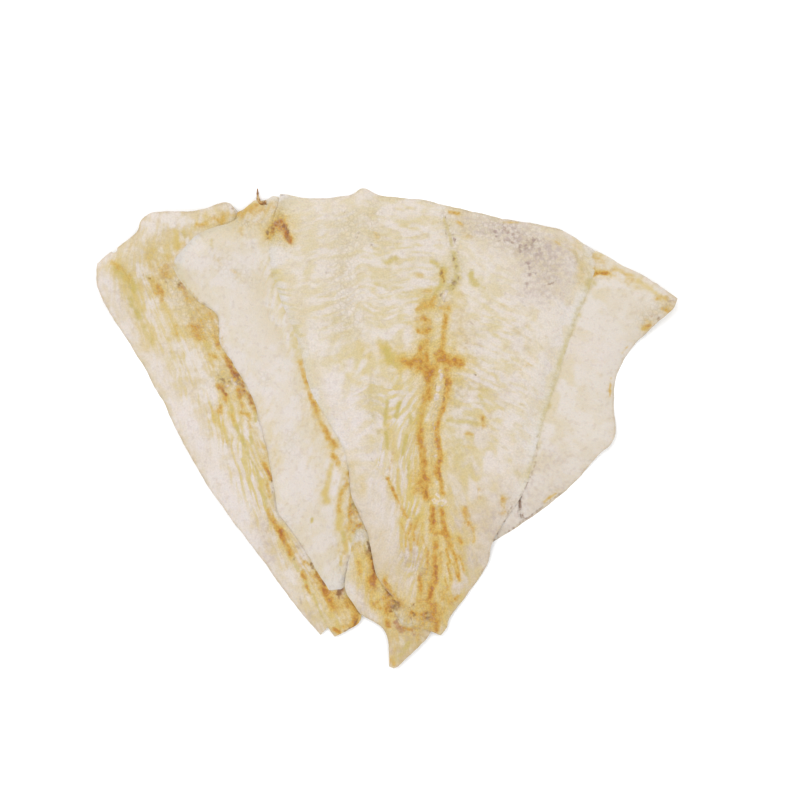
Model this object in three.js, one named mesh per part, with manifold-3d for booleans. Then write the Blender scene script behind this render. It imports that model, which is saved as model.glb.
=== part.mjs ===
// A roasted cod strip: five thin split fillets, fanned out so that they overlap, and dried into one
// wavy sheet. Millimetres, +Z up, +Y from the tails to the collars; the sheet lies on z = 0 and the
// middle of its outline is over the origin.
import * as THREE from 'three';
import { mergeVertices } from 'three/addons/utils/BufferGeometryUtils.js';
import Module from 'manifold-3d';

const wasm = await Module();
wasm.setup();

// Thickness and fit.
const EDGE = 0.7; // thickness at a fillet's rim
const FLESH = 2.1; // thickness in the middle of its flesh
const UNEVEN = 0.3; // how far that thickness wanders up and down
const GAP = 0.3; // air between a fillet and the one that it lies on
const RIM = 7; // width over which an open rim thins out
const TUCKED_RIM = 24; // the same for a rim that is hidden under the next fillet

// The seam along each backbone and the muscle bands that slant away from it.
const SEAM_DEPTH = 0.55;
const SEAM_WIDTH = 1.7;
const SHOULDER_HEIGHT = 0.4;
const SHOULDER_OFFSET = 5;
const SHOULDER_WIDTH = 3.2;
const BAND_PITCH = 11;
const BAND_HEIGHT = 0.16;
const BAND_SLANT = 0.75; // how far a band runs down the body for each millimetre away from the seam

// The height map of what lies below the next fillet.
const CELL = 1;
const MAP_HALF_X = 126;
const MAP_HALF_Y = 106;
const COLUMNS = (2 * MAP_HALF_X) / CELL + 1;
const ROWS = (2 * MAP_HALF_Y) / CELL + 1;
const SPREAD = 3; // how far around a step the next fillet stays up
const SAG = 4; // radius over which it then bends down
const LIFT_CUT = 0.1; // the faint foot of a curl, cut off so that the rest lies flat

// The slow warp of the dried sheet, which leaves its lowest parts flat on z = 0.
const WARP_HEIGHT = 3;
const WARP_LENGTH = 150;
const WARP_PHASE = 3.3;
const WARP_FLAT = 0.05;

// Grid columns stand closer together by the seam than at the sides.
const SEAM_CROWDING = 1.3;

// Each outline starts at the tail. The ends of the head and tail edges are those of the seam and sides.
const RIGHT = {
  name: 'fillet_right',
  phase: 1.2,
  colour: 0xdfd3c9,
  cells: { along: 36, left: 8, right: 12 },
  seam: [[17.5, -75], [42.5, -33], [63.5, 16], [75, 55], [78, 75]],
  left: [[15, -73], [12, -40], [15, 0], [24, 45], [38, 83]],
  right: [
    [20, -75.5], [28, -64.5], [43.5, -47], [63.5, -33.5], [74.5, -24.5], [87, -11], [93.5, -4],
    [93, 8], [94.5, 23], [98.5, 29.5], [111, 43.5], [118, 49.5], [119.5, 53.5],
  ],
  headLeft: [[60, 81]],
  headRight: [[86, 72.5], [97, 66.5]],
  tucked: ['left'],
  curls: [[121, 52, 22, 4.5], [95, -8, 14, 2], [84, 76, 11, 1.2]],
};

const LEFT = {
  name: 'fillet_left',
  phase: 2.9,
  colour: 0xe0d2ba,
  cells: { along: 44, left: 8, right: 8 },
  seam: [[-24.5, -82], [-44, -42], [-58, -4], [-68, 23.5], [-81, 46.5], [-93.5, 70], [-91.5, 89]],
  left: [
    [-27.5, -85], [-54.5, -50], [-76, -20.5], [-89.5, 5], [-103.5, 31.5], [-113, 46], [-119, 59],
    [-119, 68],
  ],
  right: [
    [-21, -85.5], [-12, -81.5], [-10.5, -76], [-20, -58.5], [-28, -21], [-39.5, 20], [-51.5, 61],
    [-61, 89],
  ],
  headLeft: [[-97.5, 88.5], [-101, 86], [-103.5, 80.5], [-109, 76], [-114, 72.5]],
  headRight: [[-79, 89.5], [-66, 93]],
  tucked: ['right'],
  curls: [[-121, 62, 20, 4.2], [-94, 92, 14, 1.8], [-84, -6, 12, 1.4]],
};

const MIDDLE = {
  name: 'fillet_middle',
  phase: 4.1,
  colour: 0xe5d9ca,
  cells: { along: 44, left: 10, right: 12 },
  seam: [[-19, -66.5], [-17, -44], [-17.5, -11], [-30, 30.5], [-41.5, 71.5], [-42, 94]],
  left: [
    [-24, -67], [-39, -42], [-44.5, -34.5], [-46.5, -23.5], [-54.5, 10], [-63.5, 27], [-68.5, 35],
    [-70.5, 47], [-78.5, 53], [-88, 67], [-86.5, 71],
  ],
  right: [[-14.5, -63.5], [0, -30], [14, 5], [20, 45], [14, 84]],
  headLeft: [
    [-46.5, 95.5], [-50, 94], [-53.5, 93.5], [-57, 92], [-59, 85.5], [-61.5, 82], [-64.5, 84],
    [-71.5, 82.5], [-79, 79],
  ],
  headRight: [[-15, 91]],
  tucked: ['right'],
  curls: [[-58, 94, 14, 1.6], [-90, 72, 12, 2.2], [-47, -32, 10, 1]],
};

const TAIL = {
  name: 'fillet_tail',
  phase: 0.5,
  colour: 0xd8c39b,
  cells: { along: 26, left: 6, right: 8 },
  seam: [[2.8, -98.5], [3.5, -91], [2.5, -80], [-4.5, -58], [-10.5, -41.5]],
  left: [
    [1.5, -98], [0.8, -89], [-1.5, -82.5], [-10.5, -76.5], [-15, -70.5], [-17.5, -65.5], [-15, -51],
    [-12.5, -42],
  ],
  right: [[4, -98], [17.5, -84.5], [20, -77], [12, -60], [0.5, -49], [-8.5, -42]],
  headLeft: [],
  headRight: [],
  tucked: [],
  curls: [[-18, -66, 9, 1.2]],
};

const FRONT = {
  name: 'fillet_front',
  phase: 5.3,
  colour: 0xdecfb4,
  cells: { along: 60, left: 16, right: 16 },
  seam: [
    [20, -84.5], [19.5, -65], [21, -40], [17.5, -5], [21.5, 20], [23.5, 47], [30.5, 68], [26, 91.5],
  ],
  left: [
    [3.5, -79.5], [2.5, -74.5], [3.5, -71], [-4, -61], [-8, -43], [-14, -29.5], [-18, -8],
    [-31, 15], [-37, 37], [-45, 56.5], [-48.5, 75], [-44, 97],
  ],
  right: [
    [24.5, -82], [41, -57], [43.5, -46.5], [57, -24.5], [62, -6], [74.5, 35], [83.5, 59],
    [86, 66], [85, 73.5],
  ],
  tailLeft: [[12, -85.5]],
  headLeft: [[11, 94.5], [-3, 96], [-10, 98.8], [-15, 96], [-34, 94.5]],
  headRight: [[46.5, 87], [71, 82]],
  tucked: [],
  curls: [[-46, 98, 20, 2.6], [92, 66, 16, 1.8], [43, -49, 9, 1.2], [2, -74, 8, 1.4], [-12, 99, 7, 1]],
};

// A bone's stub that sticks out past the collar edge of the middle fillet.
const SPINE = { tip: [-53.5, 98.6], root: [-50.5, 90.5], tipRadius: 0.32, rootRadius: 0.55, sides: 6 };

// A dry crack in the right fillet.
const CRACK = { start: [54.7, -27.5], end: [55.7, -37.5], width: 0.8 };

// An uneven swell between -1 and 1, made of three sine waves.
function swell(x, y, length, phase) {
  const k = (2 * Math.PI) / length;
  const first = Math.sin(k * (0.92 * x + 0.39 * y) + phase);
  const second = Math.sin(1.31 * k * (0.85 * y - 0.53 * x) + 2.1 * phase);
  const third = Math.sin(0.77 * k * (0.17 * x - 0.98 * y) + 3.7 * phase);
  return (first + second + third) / 3;
}

// The warp at a point: nothing where the swell is low, and a smooth rise from there.
function warpAt(x, y) {
  const rise = Math.max(0, swell(x, y, WARP_LENGTH, WARP_PHASE) - WARP_FLAT);
  return (WARP_HEIGHT * rise ** 2) / (rise + WARP_FLAT);
}

function curveThrough(points) {
  return new THREE.CatmullRomCurve3(points.map(([x, y]) => new THREE.Vector3(x, y, 0)));
}

// The six curves that bound the two halves of a fillet.
function boundsOf(spec) {
  const { seam, left, right, tailLeft = [], tailRight = [], headLeft, headRight } = spec;
  return {
    seam: curveThrough(seam),
    left: curveThrough(left),
    right: curveThrough(right),
    tailLeft: curveThrough([seam[0], ...tailLeft, left[0]]),
    tailRight: curveThrough([seam[0], ...tailRight, right[0]]),
    headLeft: curveThrough([seam.at(-1), ...headLeft, left.at(-1)]),
    headRight: curveThrough([seam.at(-1), ...headRight, right.at(-1)]),
  };
}

// The point of a Coons patch between a seam, a side, a tail edge and a head edge.
function patchPoint(seam, side, tail, head, u, v) {
  const across = seam.getPointAt(u).lerp(side.getPointAt(u), v);
  const along = tail.getPointAt(v).lerp(head.getPointAt(v), u);
  const tailEnd = tail.getPointAt(0).lerp(tail.getPointAt(1), v);
  const headEnd = head.getPointAt(0).lerp(head.getPointAt(1), v);
  return across.add(along).sub(tailEnd.lerp(headEnd, u));
}

// Rows of plan points, from the tail to the head, each from the left side over the seam to the right.
function planGrid(bounds, cells) {
  const rows = [];
  for (let i = 0; i <= cells.along; i++) {
    const u = i / cells.along;
    const row = [];
    for (let j = cells.left; j > 0; j--) {
      const v = (j / cells.left) ** SEAM_CROWDING;
      row.push(patchPoint(bounds.seam, bounds.left, bounds.tailLeft, bounds.headLeft, u, v));
    }
    for (let j = 0; j <= cells.right; j++) {
      const v = (j / cells.right) ** SEAM_CROWDING;
      row.push(patchPoint(bounds.seam, bounds.right, bounds.tailRight, bounds.headRight, u, v));
    }
    rows.push(row);
  }
  return rows;
}

// Visits each point of the height map under a triangle, with the triangle's height there.
function eachCell(a, b, c, visit) {
  const area = (b.x - a.x) * (c.y - a.y) - (c.x - a.x) * (b.y - a.y);
  if (Math.abs(area) < 1e-9) return;
  const firstColumn = Math.ceil((Math.min(a.x, b.x, c.x) + MAP_HALF_X) / CELL);
  const lastColumn = Math.floor((Math.max(a.x, b.x, c.x) + MAP_HALF_X) / CELL);
  const firstRow = Math.ceil((Math.min(a.y, b.y, c.y) + MAP_HALF_Y) / CELL);
  const lastRow = Math.floor((Math.max(a.y, b.y, c.y) + MAP_HALF_Y) / CELL);
  for (let row = firstRow; row <= lastRow; row++) {
    for (let column = firstColumn; column <= lastColumn; column++) {
      const x = column * CELL - MAP_HALF_X;
      const y = row * CELL - MAP_HALF_Y;
      const wb = ((x - a.x) * (c.y - a.y) - (c.x - a.x) * (y - a.y)) / area;
      const wc = ((b.x - a.x) * (y - a.y) - (x - a.x) * (b.y - a.y)) / area;
      if (wb < 0 || wc < 0 || wb + wc > 1) continue;
      visit(row * COLUMNS + column, a.z + wb * (b.z - a.z) + wc * (c.z - a.z));
    }
  }
}

// Each point of a map worked out from the points within a radius of it.
function filtered(map, radius, start, step, finish) {
  const offsets = [];
  for (let dy = -radius; dy <= radius; dy++) {
    for (let dx = -radius; dx <= radius; dx++) {
      if (dx * dx + dy * dy <= radius * radius) offsets.push([dx, dy]);
    }
  }
  const result = new Float64Array(map.length);
  for (let row = 0; row < ROWS; row++) {
    for (let column = 0; column < COLUMNS; column++) {
      let value = start;
      for (const [dx, dy] of offsets) {
        const x = Math.min(Math.max(column + dx, 0), COLUMNS - 1);
        const y = Math.min(Math.max(row + dy, 0), ROWS - 1);
        value = step(value, map[y * COLUMNS + x]);
      }
      result[row * COLUMNS + column] = finish(value, offsets.length);
    }
  }
  return result;
}

function widened(map, radius) {
  return filtered(map, radius, 0, Math.max, (value) => value);
}

function smoothed(map, radius) {
  return filtered(map, radius, 0, (sum, value) => sum + value, (sum, count) => sum / count);
}

function heightAt(map, point) {
  const x = (point.x + MAP_HALF_X) / CELL;
  const y = (point.y + MAP_HALF_Y) / CELL;
  const column = Math.floor(x);
  const row = Math.floor(y);
  const at = (dx, dy) => map[(row + dy) * COLUMNS + column + dx];
  const near = THREE.MathUtils.lerp(at(0, 0), at(1, 0), x - column);
  const far = THREE.MathUtils.lerp(at(0, 1), at(1, 1), x - column);
  return THREE.MathUtils.lerp(near, far, y - row);
}

// How far a fillet's own curls lift it at a point.
function curlAt(curls, point) {
  let lift = 0;
  for (const [x, y, radius, height] of curls) {
    const nearness = Math.exp(-((point.x - x) ** 2 + (point.y - y) ** 2) / radius ** 2);
    lift += (height * Math.max(0, nearness - LIFT_CUT)) / (1 - LIFT_CUT);
  }
  return lift;
}

function distanceTo(line, point) {
  let best = Infinity;
  const nearest = new THREE.Vector3();
  for (let i = 1; i < line.length; i++) {
    const run = line[i].clone().sub(line[i - 1]);
    const offset = point.clone().sub(line[i - 1]);
    const t = THREE.MathUtils.clamp(offset.dot(run) / run.lengthSq(), 0, 1);
    nearest.copy(line[i - 1]).addScaledVector(run, t);
    best = Math.min(best, nearest.distanceTo(point));
  }
  return best;
}

// Thickness at a point: thin at the rim, with a grooved seam and slanting muscle bands.
function thicknessAt(point, lines, tucked, phase) {
  let body = 1;
  for (const [edge, line] of Object.entries(lines)) {
    if (edge === 'seam') continue;
    const width = tucked.includes(edge) ? TUCKED_RIM : RIM;
    const inward = Math.min(distanceTo(line, point) / width, 1);
    body *= Math.sin((Math.PI / 2) * inward);
  }
  const fromSeam = distanceTo(lines.seam, point);
  const groove = -SEAM_DEPTH * Math.exp(-((fromSeam / SEAM_WIDTH) ** 2));
  const shoulder = SHOULDER_HEIGHT * Math.exp(-(((fromSeam - SHOULDER_OFFSET) / SHOULDER_WIDTH) ** 2));
  const bandTurn = (point.y + BAND_SLANT * fromSeam) / BAND_PITCH;
  const band = BAND_HEIGHT * Math.sin(2 * Math.PI * bandTurn + swell(point.x, point.y, 60, phase));
  const wander = UNEVEN * swell(point.x, point.y, 47, phase);
  return EDGE + body * (FLESH - EDGE + wander + groove + shoulder + band);
}

// The underside has a point at every second row and column. It follows what lies below.
function undersideGrid(plan, bed, curls) {
  const soft = smoothed(widened(bed, SPREAD), SAG);
  const coarse = plan.filter((row, i) => i % 2 === 0).map((row) => row.filter((p, j) => j % 2 === 0));
  const under = coarse.map((row) =>
    row.map((p) => new THREE.Vector3(p.x, p.y, heightAt(soft, p) + curlAt(curls, p))));
  const clear = widened(bed, 1);
  const lifted = (a, b, c) => {
    let shortBy = 0;
    eachCell(a, b, c, (cell, z) => {
      shortBy = Math.max(shortBy, clear[cell] - z);
    });
    for (const corner of [a, b, c]) corner.z += shortBy;
  };
  for (let i = 0; i + 1 < under.length; i++) {
    for (let j = 0; j + 1 < under[i].length; j++) {
      lifted(under[i][j], under[i][j + 1], under[i + 1][j + 1]);
      lifted(under[i][j], under[i + 1][j + 1], under[i + 1][j]);
    }
  }
  return under;
}

// The top has every plan point, one thickness above the underside.
function topGrid(plan, under, thickness) {
  return plan.map((row, i) =>
    row.map((point, j) => {
      const low = under[Math.floor(i / 2)][Math.floor(j / 2)];
      const high = under[Math.ceil(i / 2)][Math.ceil(j / 2)];
      return new THREE.Vector3(point.x, point.y, (low.z + high.z) / 2 + thickness(point));
    }));
}

function gridTriangles(grid) {
  const triangles = [];
  for (let i = 0; i + 1 < grid.length; i++) {
    for (let j = 0; j + 1 < grid[i].length; j++) {
      triangles.push([grid[i][j], grid[i][j + 1], grid[i + 1][j + 1]]);
      triangles.push([grid[i][j], grid[i + 1][j + 1], grid[i + 1][j]]);
    }
  }
  return triangles;
}

// The points round the edge of a grid, anticlockwise from above.
function rimOf(grid) {
  const last = grid.length - 1;
  const end = grid[0].length - 1;
  const tail = grid[0].slice(0, end);
  const right = grid.slice(0, last).map((row) => row[end]);
  const head = grid[last].slice(1).reverse();
  const left = grid.slice(1).map((row) => row[0]).reverse();
  return [...tail, ...right, ...head, ...left];
}

// The narrow wall between the rims of the underside and of the top, which has twice as many points.
function wallTriangles(under, top) {
  const low = rimOf(under);
  const high = rimOf(top);
  const triangles = [];
  for (let k = 0; k < low.length; k++) {
    const a = low[k];
    const b = low[(k + 1) % low.length];
    const [start, middle, end] = [0, 1, 2].map((step) => high[(2 * k + step) % high.length]);
    triangles.push([a, b, middle], [a, middle, start], [b, end, middle]);
  }
  return triangles;
}

function geometryOf(triangles) {
  const geometry = new THREE.BufferGeometry().setFromPoints(triangles.flat());
  geometry.computeVertexNormals();
  return geometry;
}

// Lays one fillet on the bed and raises the bed by it.
function layFillet(spec, bed) {
  const bounds = boundsOf(spec);
  const lines = {};
  for (const [edge, curve] of Object.entries(bounds)) lines[edge] = curve.getSpacedPoints(60);
  const plan = planGrid(bounds, spec.cells);
  const under = undersideGrid(plan, bed, spec.curls);
  const top = topGrid(plan, under, (point) => thicknessAt(point, lines, spec.tucked, spec.phase));
  const upward = gridTriangles(top);
  for (const [a, b, c] of upward) {
    eachCell(a, b, c, (cell, z) => {
      bed[cell] = Math.max(bed[cell], z + GAP);
    });
  }
  const downward = gridTriangles(under).map(([a, b, c]) => [a, c, b]);
  return geometryOf([...upward, ...downward, ...wallTriangles(under, top)]);
}

function solidFrom(geometry) {
  const bare = geometry.clone();
  bare.deleteAttribute('normal');
  bare.deleteAttribute('uv');
  const merged = mergeVertices(bare, 1e-4);
  const vertProperties = merged.attributes.position.array;
  const triVerts = new Uint32Array(merged.index.array);
  return new wasm.Manifold(new wasm.Mesh({ numProp: 3, vertProperties, triVerts }));
}

function geometryFrom(solid) {
  const { vertProperties, triVerts } = solid.getMesh();
  const geometry = new THREE.BufferGeometry();
  geometry.setAttribute('position', new THREE.BufferAttribute(vertProperties, 3));
  geometry.setIndex(new THREE.BufferAttribute(triVerts, 1));
  geometry.computeVertexNormals();
  return geometry;
}

// The bone stub, a thin cone frustum whose root is sunk in the flesh of the middle fillet.
function spineGeometry(bed) {
  const tip = new THREE.Vector2(...SPINE.tip);
  const root = new THREE.Vector2(...SPINE.root);
  const height = heightAt(bed, root) - GAP - SPINE.rootRadius;
  const run = tip.clone().sub(root);
  const spine = new THREE.CylinderGeometry(
    SPINE.tipRadius, SPINE.rootRadius, run.length(), SPINE.sides);
  spine.rotateZ(run.angle() - Math.PI / 2);
  const middle = root.clone().lerp(tip, 0.5);
  return spine.translate(middle.x, middle.y, height);
}

// The crack, a thin upright block to be cut out of the right fillet.
function crackGeometry() {
  const start = new THREE.Vector2(...CRACK.start);
  const run = new THREE.Vector2(...CRACK.end).sub(start);
  const block = new THREE.BoxGeometry(run.length(), CRACK.width, 8 * FLESH);
  block.rotateZ(run.angle());
  const middle = start.addScaledVector(run, 0.5);
  return block.translate(middle.x, middle.y, 0);
}

function meshOf(spec, geometry) {
  const material = new THREE.MeshStandardMaterial({
    color: spec.colour, roughness: 0.6, metalness: 0 });
  const mesh = new THREE.Mesh(geometry, material);
  mesh.name = spec.name;
  return mesh;
}

const bed = new Float64Array(COLUMNS * ROWS).map((zero, cell) => {
  const column = cell % COLUMNS;
  const row = Math.floor(cell / COLUMNS);
  return warpAt(column * CELL - MAP_HALF_X, row * CELL - MAP_HALF_Y);
});
const rightFillet = solidFrom(layFillet(RIGHT, bed)).subtract(solidFrom(crackGeometry()));
const leftFillet = layFillet(LEFT, bed);
const middleBody = solidFrom(layFillet(MIDDLE, bed));
const middleFillet = middleBody.add(solidFrom(spineGeometry(bed)));
const tailFillet = layFillet(TAIL, bed);
const frontFillet = layFillet(FRONT, bed);

const strip = new THREE.Group();
strip.add(meshOf(RIGHT, geometryFrom(rightFillet)));
strip.add(meshOf(LEFT, leftFillet));
strip.add(meshOf(MIDDLE, geometryFrom(middleFillet)));
strip.add(meshOf(TAIL, tailFillet));
strip.add(meshOf(FRONT, frontFillet));

export default strip;
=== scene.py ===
"""A roasted cod strip: five thin split fillets, fanned out, overlapping and dried into one sheet.

Each fillet is a fine closed sheet worked out with numpy. Its plan is two Coons patches that meet at
the seam along the backbone, and it drapes over a height map of what lies below it. Lengths in the
shape functions are millimetres; the finished meshes are in metres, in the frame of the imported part.
"""

import math

import bpy
import numpy as np
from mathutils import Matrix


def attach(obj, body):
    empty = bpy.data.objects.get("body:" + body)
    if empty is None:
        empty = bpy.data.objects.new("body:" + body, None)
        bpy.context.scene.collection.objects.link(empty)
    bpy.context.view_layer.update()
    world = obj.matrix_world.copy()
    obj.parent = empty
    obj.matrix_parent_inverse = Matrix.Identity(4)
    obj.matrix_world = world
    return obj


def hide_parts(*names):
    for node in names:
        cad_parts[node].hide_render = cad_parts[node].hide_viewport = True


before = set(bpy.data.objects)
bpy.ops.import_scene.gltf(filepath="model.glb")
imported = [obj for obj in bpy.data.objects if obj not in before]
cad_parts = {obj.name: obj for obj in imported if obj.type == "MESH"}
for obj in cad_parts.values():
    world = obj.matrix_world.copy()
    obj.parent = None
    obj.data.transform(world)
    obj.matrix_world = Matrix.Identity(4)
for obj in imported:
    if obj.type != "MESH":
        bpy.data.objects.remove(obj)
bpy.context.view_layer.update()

MM = 0.001

# Thickness and fit, millimetres.
EDGE = 0.22  # thickness at a fillet's rim
FLESH = 2.1  # thickness in the middle of its flesh
UNEVEN = 0.3  # how far that thickness wanders
GAP = 0.04  # air between a fillet and the one that it lies on
RIM = 7.5  # width over which an open rim thins out
TUCKED_RIM = 24.0  # the same for a rim that the next fillet hides

# The front fillet's seam: a groove on each side of a beaded ridge, from one place on it to another.
SEAM_GROOVE = (0.3, 2.2, 1.5)  # depth, how far from the seam, width
SEAM_RIDGE = (0.16, 1.0, 2.1)  # height, width, bead pitch
SEAM_REACH = (62.0, 118.0)  # how far along the seam from the tail they start and end
SEAM_FADE = 8.0  # length over which they set in and die away
SEAM_FAINT = 0.35  # share of the groove that the rest of the seam has
BEAD_SWING = 0.3  # how much the ridge swells at each bead

# The height map of what lies below the next fillet.
CELL = 1.0  # width of a cell
MAP_HALF = (126.0, 106.0)
SPREAD = 3  # cells by which what lies below is widened before a fillet drapes over it
SAG = 4  # cells over which that drape is smoothed
LIFT_CUT = 0.1  # share of a corner's curl that is cut off at its foot

# The slow warp of the dried sheet.
WARP_HEIGHT = 3.0
WARP_LENGTH = 150.0
WARP_PHASE = 3.3
WARP_FLAT = 0.05  # how high the swell has to be before the sheet leaves the table

# The three sine waves of a swell: times the wave number, its direction, and times the phase.
WAVES = ((1.0, (0.92, 0.39), 1.0), (1.31, (-0.53, 0.85), 2.1), (0.77, (0.17, -0.98), 3.7))

# How finely lines are sampled.
SPAN_SAMPLES = 40  # each span of a curve
END_SAMPLES = 4001  # the tail and the head of a patch
SEAM_SAMPLES = 200  # the seam, for its length
PLACE_SAMPLES = 2000  # the places on the seam where bands start
SIDE_SAMPLES = 70
TAIL_SAMPLES = (16, 8)  # left and right of the seam
HEAD_SAMPLES = (60, 30)
STAIN_SAMPLES = 5  # each span of a stroke
SPLIT_SAMPLES = 12

# Noise: what scatters the lattice's values (times x, y and seed, and the whole), how far the first
# octave is turned and each further one, in radians, and the share and the sum of fine fibre noise.
SCATTER = (127.1, 311.7, 74.7, 43758.5453)
OCTAVE_TURN = (0.4, 0.7)
OCTAVE_SEED = 13
FINE_FIBRE = 0.3
FIBRE_LEVEL = 1.15

# Grid columns crowd towards the seam by this power.
SEAM_CROWDING = 1.15

# Layers of noise, each as its strength and its size: how a rim is torn, how stains run and how
# patchy they are. A stain runs by a share of its half width, up to the limit.
RAGGED = ((0.45, 9.0), (0.2, 2.4))
STAIN_RUN = ((1.0, 4.5), (0.4, 1.5))
STAIN_RUN_SHARE = 0.4
STAIN_RUN_LIMIT = 0.8
STAIN_PATCHES = ((0.22, 3.2), (0.16, 1.3))
STAIN_STRENGTH = 0.97

# The faint halo round a roast stroke: times as wide, times as strong.
HALO_WIDTH = 2.4
HALO_STRENGTH = 0.5

# The muscle bands.
BAND_SIZE = (4.5, 1.25)  # length and width of one
BAND_WANDER = (1.8, 11.0)  # how far one wanders, over what length
BAND_DEPTH = 0.025
BAND_FAINT = 0.3  # share of that depth where bands hardly show
BAND_EDGE = 0.85  # noise beyond this is all band, or all gap
NEWTON_STEPS = 12
EVEN_TURN = ((0.55, 0.1), (0.55, 0.1))  # where on the seam they turn, where a fillet gives no place
FIBRE_SCALE = 0.01  # steps of the fibre map to a millimetre

# Relief of the flesh, as height and size, and how far each kind of stain raises or lowers it.
WANDER_LENGTH = 47.0
BLISTERS = (0.14, 8.0)
CRACKLE = (0.12, 2.2)
GRAIN = (0.03, 1.5)
STAIN_RELIEF = {"roast": -0.1, "yellow": -0.05, "olive": -0.05, "dark": -0.15, "red": -0.05,
                "pale": 0.06, "membrane_and_shade": 0.08}
RELIEF_FADE = 3.0  # relief is full from a third of the flesh's thickness on
THINNEST = 0.05

# A rim that has dried flush: how much wider it thins out, and the share of the edge that it loses.
FLUSH_RIM = 0.8
FLUSH_EDGE = 0.8
RIM_LINE = 0.7  # width of the line of painted shade along an open rim
FAR = 99.0  # further from a rim than any point

# The bristle of bone at the top of the middle fillet: its middle line, and its radius along that.
BRISTLE = [(-53.4, 98.9), (-53.3, 96.4), (-52.8, 93.6), (-51.6, 92.9), (-49.8, 93.2)]
BRISTLE_RADIUS = (0.3, 0.95)
BRISTLE_HEIGHT = (0.6, 0.85)  # of its middle line over what lies below
BRISTLE_BUMPS = (0.25, 9.0)  # share of its radius, number along it
BRISTLE_RINGS = 28
BRISTLE_SIDES = 12
BRISTLE_STAIN = 0.8

# A nick in the left fillet's rim: its place, the way that it goes in, and its depth and half width.
NICK = [(-112.2, 73.9), (0.3, -0.95), (2.9, 0.85)]

# The split in the right fillet.
SPLIT = [(54.5, -28.0), (54.9, -33.0), (55.8, -37.6)]
SPLIT_SIZE = (0.9, 0.75)  # depth, half width

# Each outline runs from the tail to the head, in millimetres, as the solids' outlines do.
RIGHT = {
    "node": "fillet_right",
    "slot": "right_flesh",
    "phase": 1.2,
    "cells": (260, 64, 88),
    "seam": [(17.5, -75), (42.5, -33), (63.5, 16), (75, 55), (78, 75)],
    "left": [(15, -73), (12, -40), (15, 0), (24, 45), (38, 83)],
    "right": [(20, -75.5), (28, -64.5), (43.5, -47), (51, -42.6), (63.5, -33.7), (74.7, -24.9),
              (87, -11.2), (93.7, -4), (93.9, 8), (94.9, 22.4), (98.5, 29.5), (111, 43.5),
              (118, 49.3), (119.5, 53.5)],
    "head_left": [(60, 81)],
    "head_right": [(86.3, 73), (97.5, 67.3), (110.5, 59.8)],
    "tucked": ("left",),
    "curls": [(121, 52, 22, 4.5), (95, -8, 14, 2), (84, 76, 11, 1.2)],
    "slant": (-0.15, -0.1),
}
LEFT = {
    "node": "fillet_left",
    "slot": "left_flesh",
    "phase": 2.9,
    "cells": (320, 60, 60),
    "seam": [(-24.5, -82), (-44, -42), (-58, -4), (-68, 23.5), (-81, 46.5), (-93.5, 70),
             (-91.5, 89)],
    "left": [(-27.5, -85.3), (-33.6, -78.2), (-54.5, -50), (-76, -20.5), (-89.5, 5),
             (-104.2, 31.7), (-113, 46), (-119, 59), (-119, 68)],
    "right": [(-21.2, -86), (-17.5, -83.8), (-12, -80.6), (-11.2, -79.4), (-10.6, -76.2),
              (-20, -58.5), (-28, -21), (-39.5, 20), (-51.5, 61), (-59, 86)],
    "head_left": [(-97.5, 88.5), (-101, 86), (-103.5, 80.5), (-109, 76), (-114, 72.5)],
    "head_right": [(-79, 89.5), (-65.5, 93), (-61.3, 89.6)],
    "tucked": ("right",),
    "curls": [(-121, 62, 20, 4.2), (-94, 92, 14, 1.8), (-84, -6, 12, 1.4)],
    "slant": (3.0, 4.0),
}
MIDDLE = {
    "node": "fillet_middle",
    "slot": "middle_flesh",
    "phase": 4.1,
    "cells": (300, 80, 60),
    "seam": [(-19, -66.5), (-17, -44), (-17.5, -11), (-30, 30.5), (-41.5, 71.5), (-42, 94)],
    "left": [(-24, -67), (-39, -42), (-44.5, -34.5), (-46.5, -23.5), (-54.5, 10), (-63.5, 27),
             (-68.5, 35), (-70.5, 47), (-78.5, 53), (-88, 67), (-86.5, 71)],
    "right": [(-14.5, -63.5), (0, -30), (14, 5), (20, 45), (14, 84)],
    "head_left": [(-46.5, 95.7), (-50, 94), (-54, 94), (-56.5, 92.2), (-58.5, 90.5),
                  (-61.4, 88.9), (-62.2, 86.4), (-65, 84.6), (-71.5, 82.8), (-79, 79)],
    "head_right": [(-15, 91)],
    "tucked": ("right",),
    "curls": [(-58, 94, 14, 1.2), (-47, -32, 10, 1)],
    "slant": (0.7, 2.2),
}
TAIL = {
    "node": "fillet_tail",
    "slot": "tail_flesh",
    "phase": 0.5,
    "cells": (140, 34, 40),
    "seam": [(2.8, -99), (3.5, -91), (2.5, -80), (-4.5, -58), (-10.5, -41.5)],
    "left": [(1.1, -98.2), (0.8, -89), (-1.5, -82.5), (-10.5, -76.5), (-15, -70.5), (-17.5, -65.5),
             (-15, -51), (-12.5, -42)],
    "right": [(4.6, -98.3), (17.7, -85), (20, -77), (12, -60), (0.5, -49), (-8.5, -42)],
    "head_left": [],
    "head_right": [],
    "tucked": (),
    "curls": [(-18, -66, 9, 1.2)],
    "slant": (2.6, 2.6),
}
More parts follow.
